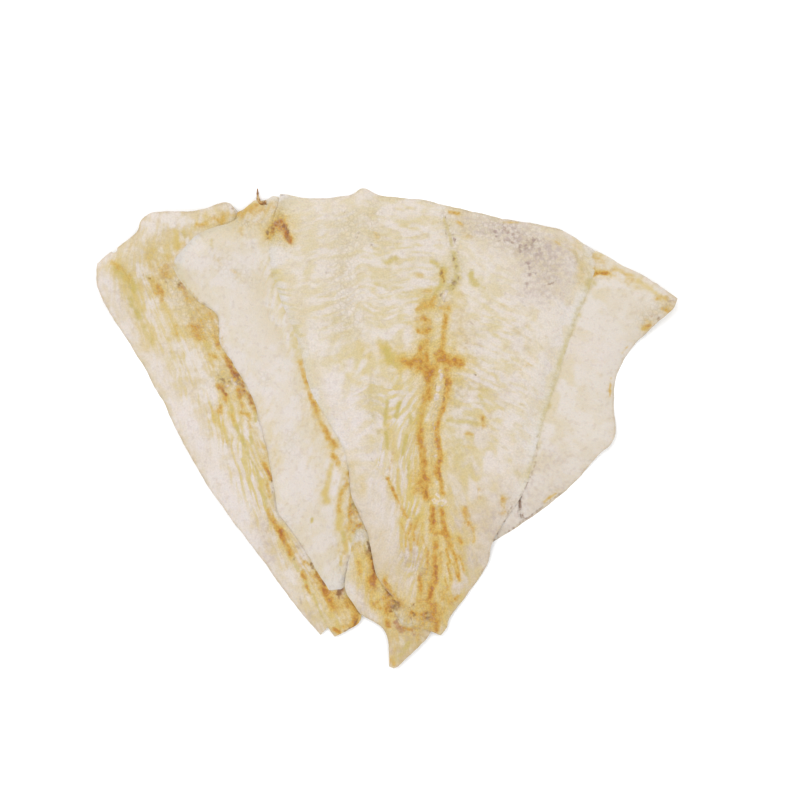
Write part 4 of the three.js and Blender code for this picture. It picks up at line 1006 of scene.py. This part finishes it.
def sheet_faces(rows, columns):
    """Triangles of a closed sheet, and the numbers of the points round its top rim.

    The top is a grid of rows by columns, and the underside a grid of every second point of it, which
    faces down. Three triangles of wall join each step of the underside's rim to two of the top's.
    """
    low_rows = (rows + 1) // 2
    low_columns = (columns + 1) // 2
    high = np.arange(rows * columns).reshape(rows, columns)
    low = rows * columns + np.arange(low_rows * low_columns).reshape(low_rows, low_columns)

    def grid_faces(ids, flip):
        a, b, c, d = ids[:-1, :-1], ids[:-1, 1:], ids[1:, 1:], ids[1:, :-1]
        pairs = ((a, c, b), (a, d, c)) if flip else ((a, b, c), (a, c, d))
        return np.concatenate([np.stack(t, axis=-1).reshape(-1, 3) for t in pairs])

    def ring(ids):
        return np.concatenate([ids[0, :-1], ids[:-1, -1], ids[-1, :0:-1], ids[:0:-1, 0]])

    rim = ring(high)
    foot = ring(low)
    start = rim[0::2]
    middle = rim[1::2]
    end = np.roll(rim, -2)[0::2]
    after = np.roll(foot, -1)
    wall = np.concatenate([np.stack(t, axis=-1) for t in
                           ((foot, after, middle), (foot, middle, start), (after, end, middle))])
    return np.concatenate([grid_faces(high, False), grid_faces(low, True), wall]), rim


def sheet_mesh(name, top, under, attributes, fibre, extra=None):
    """A closed mesh from a fine top grid and an underside grid of every second point, in metres.

    The extra part, if there is one, is points and triangles to add, all stained dark.
    """
    faces, rim = sheet_faces(*top.shape[:2])
    points = np.concatenate([top.reshape(-1, 3), under.reshape(-1, 3)])
    uv = np.concatenate([fibre.reshape(-1, 2), fibre[::2, ::2].reshape(-1, 2)])
    added = 0
    if extra:
        added = len(extra[0])
        faces = np.concatenate([faces, extra[1] + len(points)])
        points = np.concatenate([points, extra[0]])
        uv = np.concatenate([uv, extra[0][:, :2] * FIBRE_SCALE])
    points = points * MM

    mesh = bpy.data.meshes.new(name)
    mesh.vertices.add(len(points))
    mesh.vertices.foreach_set("co", points.astype(np.float32).ravel())
    mesh.loops.add(faces.size)
    mesh.loops.foreach_set("vertex_index", faces.astype(np.int32).ravel())
    mesh.polygons.add(len(faces))
    mesh.polygons.foreach_set("loop_start", np.arange(0, faces.size, 3, dtype=np.int32))
    mesh.polygons.foreach_set("use_smooth", np.ones(len(faces), bool))
    mesh.update(calc_edges=True)
    ends = np.empty(2 * len(mesh.edges), np.int32)
    mesh.edges.foreach_get("vertices", ends)
    place = np.full(len(points), -1)
    place[rim] = np.arange(len(rim))
    places = place[ends.reshape(-1, 2)]
    step = np.abs(places[:, 1] - places[:, 0])
    on_rim = (places >= 0).all(axis=1)
    sharp = on_rim & ((step == 1) | (step == len(rim) - 1))
    mesh.attributes.new("sharp_edge", "BOOLEAN", "EDGE").data.foreach_set("value", sharp)
    layer = mesh.uv_layers.new(name="fibre")
    layer.uv.foreach_set("vector", uv[faces.ravel()].astype(np.float32).ravel())
    for key, values in attributes.items():
        tinted = BRISTLE_STAIN if key in ("roast", "red", "dark") else 0.0
        both = np.concatenate([values.ravel(), values[::2, ::2].ravel(), np.full(added, tinted)])
        mesh.attributes.new(key, "FLOAT", "POINT").data.foreach_set("value", both.astype(np.float32))
    mesh.update()
    mesh.validate()
    return mesh


def seam_relief(aside, along):
    """A groove on each side of a beaded ridge, over part of the seam."""
    depth, offset, width = SEAM_GROOVE
    height, half, pitch = SEAM_RIDGE
    reach = ease(0, SEAM_FADE, along - SEAM_REACH[0]) * ease(0, SEAM_FADE, SEAM_REACH[1] - along)
    groove = -depth * np.exp(-(((aside - offset) / width) ** 2))
    beads = 1 - BEAD_SWING + BEAD_SWING * np.sin(2 * math.pi * along / pitch)
    ridge = height * beads * reach * np.exp(-((aside / half) ** 2))
    return groove * (SEAM_FAINT + (1 - SEAM_FAINT) * reach) + ridge


def seam_places(fillet, plan):
    """How far along the seam each point is, 0 to 1, how far aside of it, and the seam's length."""
    rows, left_columns, _ = fillet["cells"]
    length = np.linalg.norm(np.diff(smooth_line(fillet["seam"], SEAM_SAMPLES), axis=0), axis=1).sum()
    steps = np.linalg.norm(np.diff(plan, axis=1), axis=2)
    across = np.cumsum(np.pad(steps, ((0, 0), (1, 0))), axis=1)
    across -= across[:, left_columns:left_columns + 1]
    at = np.repeat(np.linspace(0, 1, rows + 1)[:, None], plan.shape[1], axis=1)
    return at, across, length


def rim_fade(fillet, plan, flush):
    """How full the flesh is, 0 at a rim and 1 well inside it, and how far the nearest open rim is.

    Each edge multiplies the fullness by sin(pi / 2 * distance / rim width). Where an open rim has
    dried flush it thins out over a wider strip, and to a higher power.
    """
    body = np.ones(flush.shape)
    open_rim = np.full(flush.shape, FAR)
    for edge, line in rim_lines(fillet).items():
        inward, _ = distance_to(line, plan[..., 0], plan[..., 1])
        tucked = edge in fillet["tucked"]
        rim = TUCKED_RIM if tucked else RIM * (1 + FLUSH_RIM * flush)
        power = 1 if tucked else 1 + flush
        body *= np.sin(math.pi / 2 * np.clip(inward / rim, 0, 1)) ** power
        if not tucked:
            open_rim = np.minimum(open_rim, inward)
    return body, open_rim


def muscle_bands(fillet, x, y, along, across):
    """The muscle bands, 0 to 1, and the fibre map: how far along its band a point is, and which."""
    phase = fillet["phase"]
    origin, slant = band_origin(along, across, fillet["slant"], fillet.get("turn", EVEN_TURN))
    run = across * np.sqrt(1 + slant**2)
    reach, size = BAND_WANDER
    wandered = origin + reach * rough_noise(x, y, size, phase + 31, 2)
    bands = ease(-BAND_EDGE, BAND_EDGE, fibre_noise(run, wandered, BAND_SIZE, phase + 32))
    return bands, np.stack([run, origin], axis=-1) * FIBRE_SCALE


def flesh_relief(fillet, x, y, masks, bands):
    """How far bands, crackle, stains and a split press the flesh in, or raise it."""
    height, size = CRACKLE
    crackle = height * np.abs(rough_noise(x, y, size, fillet["phase"] + 35, 2))
    relief = -BAND_DEPTH * bands * (BAND_FAINT + masks["streak"]) - crackle * masks["rough"]
    for kind, rise in STAIN_RELIEF.items():
        relief += rise * masks[kind]
    if fillet is RIGHT:
        off_split, _ = distance_to(smooth_line(SPLIT, SPLIT_SAMPLES), x, y)
        relief -= SPLIT_SIZE[0] * np.exp(-((off_split / SPLIT_SIZE[1]) ** 2))
    return relief


def make_fillet(fillet, stains, bed, material):
    """Lays one fillet on the bed, raises the bed by it, and returns its object.

    top = underside + rim thickness + fullness * (flesh + wander + blisters) + relief + grain, where
    the last two fade out at the rim. The underside is the bed, widened, smoothed and lifted at the
    curled corners, and follows the bed itself where the rim has dried flush.
    """
    phase = fillet["phase"]
    plan = plan_grid(fillet)
    x, y = ragged(plan[..., 0], plan[..., 1], phase)
    if fillet is LEFT:
        (nick_x, nick_y), (in_x, in_y), (nick_depth, nick_width) = NICK
        push = nick_depth * np.exp(-((x - nick_x) ** 2 + (y - nick_y) ** 2) / nick_width**2)
        x = x + in_x * push
        y = y + in_y * push
    masks = stain_masks(stains, x, y, phase)
    flush = masks["flush"]
    at, across, seam_length = seam_places(fillet, plan)
    body, open_rim = rim_fade(fillet, plan, flush)
    bands, fibre = muscle_bands(fillet, x, y, at * seam_length, across)
    attributes = dict(masks)
    attributes["bands"] = bands
    # painted shade: a darker line along each open rim, none where the rim has dried flush
    attributes["rim"] = np.exp(-((open_rim / RIM_LINE) ** 2)) * (1 - flush)
    attributes["tail"] = 1 - at

    flesh = FLESH - EDGE + UNEVEN * swell(x, y, WANDER_LENGTH, phase)
    flesh += BLISTERS[0] * rough_noise(x, y, BLISTERS[1], phase + 33)
    relief = flesh_relief(fillet, x, y, masks, bands)
    if fillet is FRONT:
        relief += seam_relief(np.abs(across), at * seam_length)
    relief += GRAIN[0] * rough_noise(x, y, GRAIN[1], phase + 34, 2)
    soft = smoothed(widened(bed, SPREAD), SAG)
    base = np.maximum(map_at(soft, x, y), map_at(widened(bed, 1), x, y))
    base -= flush * (base - map_at(bed, x, y))
    base += curl_lift(fillet["curls"], x, y)
    edge = EDGE * (1 - FLUSH_EDGE * flush)
    top = base + edge + body * flesh + relief * np.minimum(body * RELIEF_FADE, 1)
    top = np.maximum(top, base + THINNEST)
    bristle = bristle_tube(bed) if fillet is MIDDLE else None
    raise_bed(bed, x, y, top)
    top_grid = np.stack([x, y, top], axis=-1)
    under_grid = np.stack([x, y, base], axis=-1)[::2, ::2]
    mesh = sheet_mesh(fillet["slot"], top_grid, under_grid, attributes, fibre, bristle)
    mesh.materials.append(material)
    piece = bpy.data.objects.new(fillet["node"] + "_flesh", mesh)
    bpy.context.scene.collection.objects.link(piece)
    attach(piece, "root")
    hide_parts(fillet["node"])
    return piece


# ---------------------------------------------------------------- materials


# How bright a white surface is on this stage.
SCENE_LIGHT = 1.35

# Fibres and threads of the muscle: how closely they lie along and across the fibre map.
FIBRE_PATTERNS = (("Fibres", (24.0, 95.0, 1.0)), ("Threads", (50.0, 260.0, 1.0)))

# The patterns of the dried surface: their noise's scale and detail.
SKIN_PATTERNS = (("Blotches", 80.0, 2.0), ("Mottle", 240.0, 1.0), ("Flecks", 560.0, 1.0),
                 ("Grain", 1500.0, 3.0))
CRACKLE_SCALE = 520.0
CRACKLE_LINE = 0.22

# How much more grain stained flesh shows; that extra grain is partly painted light and shade of fine
# wrinkles.
STAINED_GRAIN_AND_SHADE = 0.22

# Colours are as they look on screen in this scene. First the flesh where one fillet has dried onto
# the next, the same on both, its tanned tail, and the gaps and lines of muscle bands that show.
JOINED_PALE = (229, 219, 208)
JOINED_CREAM = (223, 209, 182)
TANNED = (208, 187, 152)
BAND_GAPS = (229, 217, 214)
BAND_LINES = (214, 192, 112)
# Grey skin left on the flesh; the same grey also paints shade where the flesh lies darker.
MEMBRANE_AND_SHADE = (203, 187, 178)
CRACKLED = (188, 172, 144)
# Painted shade along open rims.
RIM_SHADE = (192, 174, 144)

# How each kind of stain is laid on, in this order: the pattern that breaks it up and how strongly,
# the mask where it sets in and where it is full, how opaque it gets, and its colour.
FLESH_STAINS = (
    ("pale", "flecked", 0.3, 0.05, 0.9, 0.8, (231, 221, 217)),
    ("yellow", "banded", 0.35, 0.03, 0.95, 0.85, (214, 187, 100)),
    ("olive", "flecked", 0.35, 0.05, 0.95, 0.85, (202, 182, 100)),
)
ROASTED_STAINS = (
    ("halo", "banded", 0.35, 0.03, 0.8, 0.8, (217, 191, 118)),
    ("roast", "banded", 0.5, 0.12, 0.8, 0.85, (212, 177, 91)),
    ("roast", "flecked", 0.6, 0.42, 1.05, 0.9, (206, 157, 61)),
    ("roast", "flecked", 0.8, 0.78, 1.3, 0.9, (191, 131, 38)),
    ("red", "flecked", 0.6, 0.3, 1.2, 0.75, (170, 98, 40)),
    # The bruise and dark colours also paint shade and shadow along rims, at the grey skin's edge and
    # in the split.
    ("bruise_and_shade", "flecks", 0.8, 0.15, 1.2, 0.75, (160, 134, 124)),
    ("dark", "flecks", 0.8, 0.3, 1.25, 0.7, (124, 84, 46)),
    ("bead", "flecks", 0.9, 0.3, 1.1, 0.8, (229, 215, 206)),
)

# The finish: how rough pale and roasted flesh is, its fine bump, and how light gets in.
ROUGHNESS = (0.64, 0.48)
BUMP = {"Strength": 0.35, "Distance": 0.0002}
FINISH = {"Specular IOR Level": 0.35, "Subsurface Weight": 0.12,
          "Subsurface Radius": (1.0, 0.6, 0.35), "Subsurface Scale": 0.0012}

# Each fillet's flesh: the material's name, its pale and its cream colour, how much its muscle bands
# show between those, its grain, and how tanned its tail is.
FLESH_LOOKS = {
    "right_flesh": ("pale beige flesh", (227, 217, 205), (223, 211, 193), 0.25, 0.06, 0.0),
    "left_flesh": ("tan flesh", (230, 219, 208), (219, 202, 168), 0.2, 0.13, 0.05),
    "middle_flesh": ("pale smooth flesh", (229, 219, 210), (225, 213, 193), 0.2, 0.07, 0.1),
    "tail_flesh": ("tan tail flesh", (224, 208, 176), (206, 180, 124), 0.4, 0.14, 0.0),
    "front_flesh": ("cream flesh", (229, 218, 205), (221, 207, 177), 0.3, 0.15, 0.6),
}


def linear(level):
    """An 8-bit level of a screen colour as linear light, by the sRGB curve."""
    c = level / 255
    return c / 12.92 if c <= 0.04045 else ((c + 0.055) / 1.055) ** 2.4


def lit(screen):
    """The surface colour that looks like an 8-bit screen colour under this scene's light."""
    return tuple(linear(c) / SCENE_LIGHT for c in screen) + (1.0,)


class Nodes:
    """A short way to add nodes to a tree and join them."""

    def __init__(self, tree):
        self.tree = tree

    def add(self, kind, values=None, **settings):
        """A new node with its settings, and with values or links for its inputs."""
        node = self.tree.nodes.new(kind)
        for key, value in settings.items():
            setattr(node, key, value)
        for socket, value in (values or {}).items():
            self.feed(node.inputs[socket], value)
        return node

    def feed(self, socket, value):
        """Joins an output to the input socket, or sets the input to a value."""
        if isinstance(value, bpy.types.NodeSocket):
            self.tree.links.new(value, socket)
        else:
            socket.default_value = value

    def math(self, operation, a, b):
        """Two values added, subtracted or multiplied."""
        node = self.add("ShaderNodeMath", operation=operation)
        self.feed(node.inputs[0], a)
        self.feed(node.inputs[1], b)
        return node.outputs[0]

    def mix(self, factor, a, b, blend="MIX"):
        """Colour a, turned into colour b by the factor."""
        node = self.add("ShaderNodeMix", data_type="RGBA", blend_type=blend, clamp_factor=True)
        self.feed(node.inputs["Factor"], factor)
        self.feed(node.inputs[6], a)
        self.feed(node.inputs[7], b)
        return node.outputs[2]

    def spread(self, value, low, high, to_low=0.0, to_high=1.0):
        """An S-curve from to_low, where the value is low, to to_high, where it is high."""
        node = self.add("ShaderNodeMapRange", interpolation_type="SMOOTHSTEP")
        self.feed(node.inputs["Value"], value)
        self.feed(node.inputs["From Min"], low)
        self.feed(node.inputs["From Max"], high)
        self.feed(node.inputs["To Min"], to_low)
        self.feed(node.inputs["To Max"], to_high)
        return node.outputs["Result"]

    def attribute(self, name):
        """A mask that the mesh carries."""
        return self.add("ShaderNodeAttribute", attribute_name=name).outputs["Fac"]


def fibre_group():
    """Fine fibres of the muscle, from noise stretched along the piece's own fibre map."""
    tree = bpy.data.node_groups.new("muscle fibres", "ShaderNodeTree")
    for name, _ in FIBRE_PATTERNS:
        tree.interface.new_socket(name, in_out="OUTPUT", socket_type="NodeSocketFloat")
    n = Nodes(tree)
    fibre = n.add("ShaderNodeUVMap", uv_map="fibre").outputs["UV"]
    out = n.add("NodeGroupOutput")
    for name, scale in FIBRE_PATTERNS:
        place = n.add("ShaderNodeMapping", {"Vector": fibre, "Scale": scale})
        noise = n.add("ShaderNodeTexNoise", {"Vector": place.outputs[0], "Scale": 1.0,
                                             "Detail": 2.0, "Roughness": 0.5, "Distortion": 0.5})
        n.feed(out.inputs[name], n.spread(noise.outputs["Fac"], 0.3, 0.7))
    return tree


def dry_skin_group():
    """Blotches, mottling, grain and crackle of the dried surface, from object coordinates."""
    tree = bpy.data.node_groups.new("dry surface", "ShaderNodeTree")
    for name in [name for name, _, _ in SKIN_PATTERNS] + ["Crackle"]:
        tree.interface.new_socket(name, in_out="OUTPUT", socket_type="NodeSocketFloat")
    n = Nodes(tree)
    place = n.add("ShaderNodeTexCoord").outputs["Object"]
    out = n.add("NodeGroupOutput")
    for name, scale, detail in SKIN_PATTERNS:
        noise = n.add("ShaderNodeTexNoise", {"Vector": place, "Scale": scale, "Detail": detail,
                                             "Roughness": 0.5})
        n.feed(out.inputs[name], n.spread(noise.outputs["Fac"], 0.3, 0.7))
    cells = n.add("ShaderNodeTexVoronoi", {"Vector": place, "Scale": CRACKLE_SCALE},
                  feature="DISTANCE_TO_EDGE")
    crackle = n.spread(cells.outputs["Distance"], 0.0, CRACKLE_LINE, 1.0, 0.0)
    n.feed(out.inputs["Crackle"], crackle)
    return tree


def stain_group():
    """How a stain breaks up: its mask, pushed up and down by a pattern, then cut and softened.

    Amount = smooth step of (mask + Push * (pattern - 0.5)) from Start to End.
    """
    tree = bpy.data.node_groups.new("broken stain", "ShaderNodeTree")
    for name in ("Mask", "Pattern", "Push", "Start", "End"):
        tree.interface.new_socket(name, in_out="INPUT", socket_type="NodeSocketFloat")
    tree.interface.new_socket("Amount", in_out="OUTPUT", socket_type="NodeSocketFloat")
    n = Nodes(tree)
    given = n.add("NodeGroupInput").outputs
    pushed = n.math("MULTIPLY", n.math("SUBTRACT", given["Pattern"], 0.5), given["Push"])
    out = n.add("NodeGroupOutput")
    cut = n.spread(n.math("ADD", given["Mask"], pushed), given["Start"], given["End"])
    n.feed(out.inputs["Amount"], cut)
    return tree


def flesh_material(name, pale, cream, band_strength, graininess, tanned, groups):
    """Dried fish flesh: pale and cream patches, yellowish muscle bands, and roasted stains."""
    material = bpy.data.materials.new(name)
    material.use_nodes = True
    tree = material.node_tree
    tree.nodes.clear()
    n = Nodes(tree)
    muscle = n.add("ShaderNodeGroup", node_tree=groups["fibres"])
    skin = n.add("ShaderNodeGroup", node_tree=groups["skin"])
    threads = muscle.outputs["Threads"]
    blotches = skin.outputs["Blotches"]
    mottle = skin.outputs["Mottle"]
    flecks = skin.outputs["Flecks"]
    grain = skin.outputs["Grain"]

    def blend(a, b, share):
        return n.math("ADD", n.math("MULTIPLY", a, 1 - share), n.math("MULTIPLY", b, share))

    # Three patterns break the stains up: flecks, flecks in mottling, and that with the bands.
    striped = blend(n.attribute("bands"), muscle.outputs["Fibres"], 0.2)
    flecked = blend(mottle, flecks, 0.5)
    patterns = {"flecks": flecks, "flecked": flecked, "banded": blend(striped, flecked, 0.5)}

    def stained(colour, stains):
        for kind, pattern, push, start, end, opacity, stain in stains:
            group = n.add("ShaderNodeGroup", node_tree=groups["stain"])
            values = {"Mask": n.attribute(kind), "Pattern": patterns[pattern], "Push": push,
                      "Start": start, "End": end}
            for key, value in values.items():
                n.feed(group.inputs[key], value)
            amount = n.math("MULTIPLY", group.outputs["Amount"], opacity)
            colour = n.mix(amount, colour, lit(stain))
        return colour

    # Bare flesh: patches, the tanned tail, the strip dried onto the next fillet, and muscle bands.
    patches = blend(blend(blotches, mottle, 0.45), striped, band_strength)
    colour = n.mix(n.spread(patches, 0.25, 0.75), lit(pale), lit(cream))
    tail = n.math("ADD", n.attribute("tail"), n.math("MULTIPLY", patches, 0.2))
    colour = n.mix(n.spread(tail, 0.45, 1.05, 0.0, tanned), colour, lit(TANNED))
    joined = n.mix(n.spread(blotches, 0.3, 0.7), lit(JOINED_PALE), lit(JOINED_CREAM))
    colour = n.mix(n.attribute("flush"), colour, joined)
    streaks = n.attribute("streak")
    gaps = n.math("MULTIPLY", streaks, n.spread(striped, 0.55, 0.25, 0.0, 0.7))
    colour = n.mix(gaps, colour, lit(BAND_GAPS))
    lines = n.math("MULTIPLY", streaks, n.spread(striped, 0.42, 0.82))
    colour = n.mix(lines, colour, lit(BAND_LINES))

    # Stains, with the grey skin left on the flesh between the faint and the roasted ones. The grey
    # also paints shade where the flesh lies darker, and some bruise and dark strokes are painted
    # shade too.
    colour = stained(colour, FLESH_STAINS)
    grey_skin_and_shade = n.math("MULTIPLY", n.attribute("membrane_and_shade"), n.spread(flecks, 0.1, 0.9, 0.35, 1.0))
    colour = n.mix(grey_skin_and_shade, colour, lit(MEMBRANE_AND_SHADE))
    colour = stained(colour, ROASTED_STAINS)
    scored = n.math("MULTIPLY", n.attribute("rough"), skin.outputs["Crackle"])
    colour = n.mix(n.math("MULTIPLY", scored, 0.4), colour, lit(CRACKLED))
    # Painted shade: a thin darker line along each open rim.
    rim = n.math("MULTIPLY", n.attribute("rim"), blend(0.3, mottle, 0.5))
    colour = n.mix(rim, colour, lit(RIM_SHADE))

    # Fine grain, darker and lighter about 1, that grows where flesh is stained; where it grows it is
    # partly painted light and shade of fine wrinkles.
    contrast = n.spread(n.attribute("halo"), 0.0, 1.0, graininess, graininess + STAINED_GRAIN_AND_SHADE)
    unevenness = n.math("SUBTRACT", blend(grain, threads, 0.3), 0.5)
    shade = n.math("SUBTRACT", 1.0, n.math("MULTIPLY", contrast, unevenness))
    grey = n.add("ShaderNodeCombineColor", {"Red": shade, "Green": shade, "Blue": shade})
    colour = n.mix(1.0, colour, grey.outputs[0], blend="MULTIPLY")

    height = n.math("ADD", blend(threads, grain, 0.5), n.math("MULTIPLY", scored, -0.8))
    bump = n.add("ShaderNodeBump", {"Height": height, **BUMP})
    roughness = n.spread(n.math("ADD", mottle, n.attribute("roast")), 0.0, 1.6, *ROUGHNESS)
    shader = n.add("ShaderNodeBsdfPrincipled", {"Base Color": colour, "Roughness": roughness,
                                                "Normal": bump.outputs[0]})
    for socket, value in FINISH.items():
        shader.inputs[socket].default_value = value
    out = n.add("ShaderNodeOutputMaterial")
    tree.links.new(shader.outputs[0], out.inputs["Surface"])
    return material


# ---------------------------------------------------------------- stage, light and camera


FLOOR_HALF = 3.0
FLOOR_SHADE = 0.94
SURROUND_STRENGTH = 1.2
LAMP_SIZE = 1.5
LAMP_POWER = 9.0
LAMP_PLACE = (-0.8, 0.9, 1.5)
LAMP_TURN = (-31, -28, 0)  # degrees, towards the sheet
CAMERA_LENS = 100
CAMERA_PLACE = (0.0054, 0.0117, 0.918)


def make_stage():
    """A wide pale floor just under the sheet."""
    h = FLOOR_HALF
    mesh = bpy.data.meshes.new("floor")
    mesh.from_pydata([(-h, -h, 0), (h, -h, 0), (h, h, 0), (-h, h, 0)], [], [(0, 1, 2, 3)])
    floor = bpy.data.objects.new("floor", mesh)
    bpy.context.scene.collection.objects.link(floor)
    material = bpy.data.materials.new("white floor")
    material.use_nodes = True
    shader = material.node_tree.nodes["Principled BSDF"]
    shader.inputs["Base Color"].default_value = (FLOOR_SHADE, FLOOR_SHADE, FLOOR_SHADE, 1)
    shader.inputs["Roughness"].default_value = 0.9
    shader.inputs["Specular IOR Level"].default_value = 0.0
    mesh.materials.append(material)


def make_light():
    """An even white surround with one large soft lamp from the upper left."""
    world = bpy.data.worlds.new("soft surround")
    world.use_nodes = True
    background = world.node_tree.nodes["Background"]
    background.inputs["Color"].default_value = (1, 1, 1, 1)
    background.inputs["Strength"].default_value = SURROUND_STRENGTH
    bpy.context.scene.world = world
    lamp = bpy.data.lights.new("softbox", "AREA")
    lamp.shape = "DISK"
    lamp.size = LAMP_SIZE
    lamp.energy = LAMP_POWER
    softbox = bpy.data.objects.new("softbox", lamp)
    softbox.location = LAMP_PLACE
    softbox.rotation_euler = [math.radians(angle) for angle in LAMP_TURN]
    bpy.context.scene.collection.objects.link(softbox)


def make_camera():
    """A long lens straight above the sheet, a little up and to the right of its middle."""
    camera = bpy.data.cameras.new("camera")
    camera.lens = CAMERA_LENS
    camera.sensor_width = 36
    viewer = bpy.data.objects.new("camera", camera)
    viewer.location = CAMERA_PLACE
    bpy.context.scene.collection.objects.link(viewer)
    bpy.context.scene.camera = viewer
    bpy.context.scene.view_settings.view_transform = "Standard"
    bpy.context.scene.view_settings.look = "None"


make_camera()
make_light()
make_stage()

groups = {"fibres": fibre_group(), "skin": dry_skin_group(), "stain": stain_group()}
bed = flat_bed()
for fillet, stains in ((RIGHT, RIGHT_STAINS), (LEFT, LEFT_STAINS), (MIDDLE, MIDDLE_STAINS),
                       (TAIL, TAIL_STAINS), (FRONT, FRONT_STAINS)):
    make_fillet(fillet, stains, bed, flesh_material(*FLESH_LOOKS[fillet["slot"]], groups))
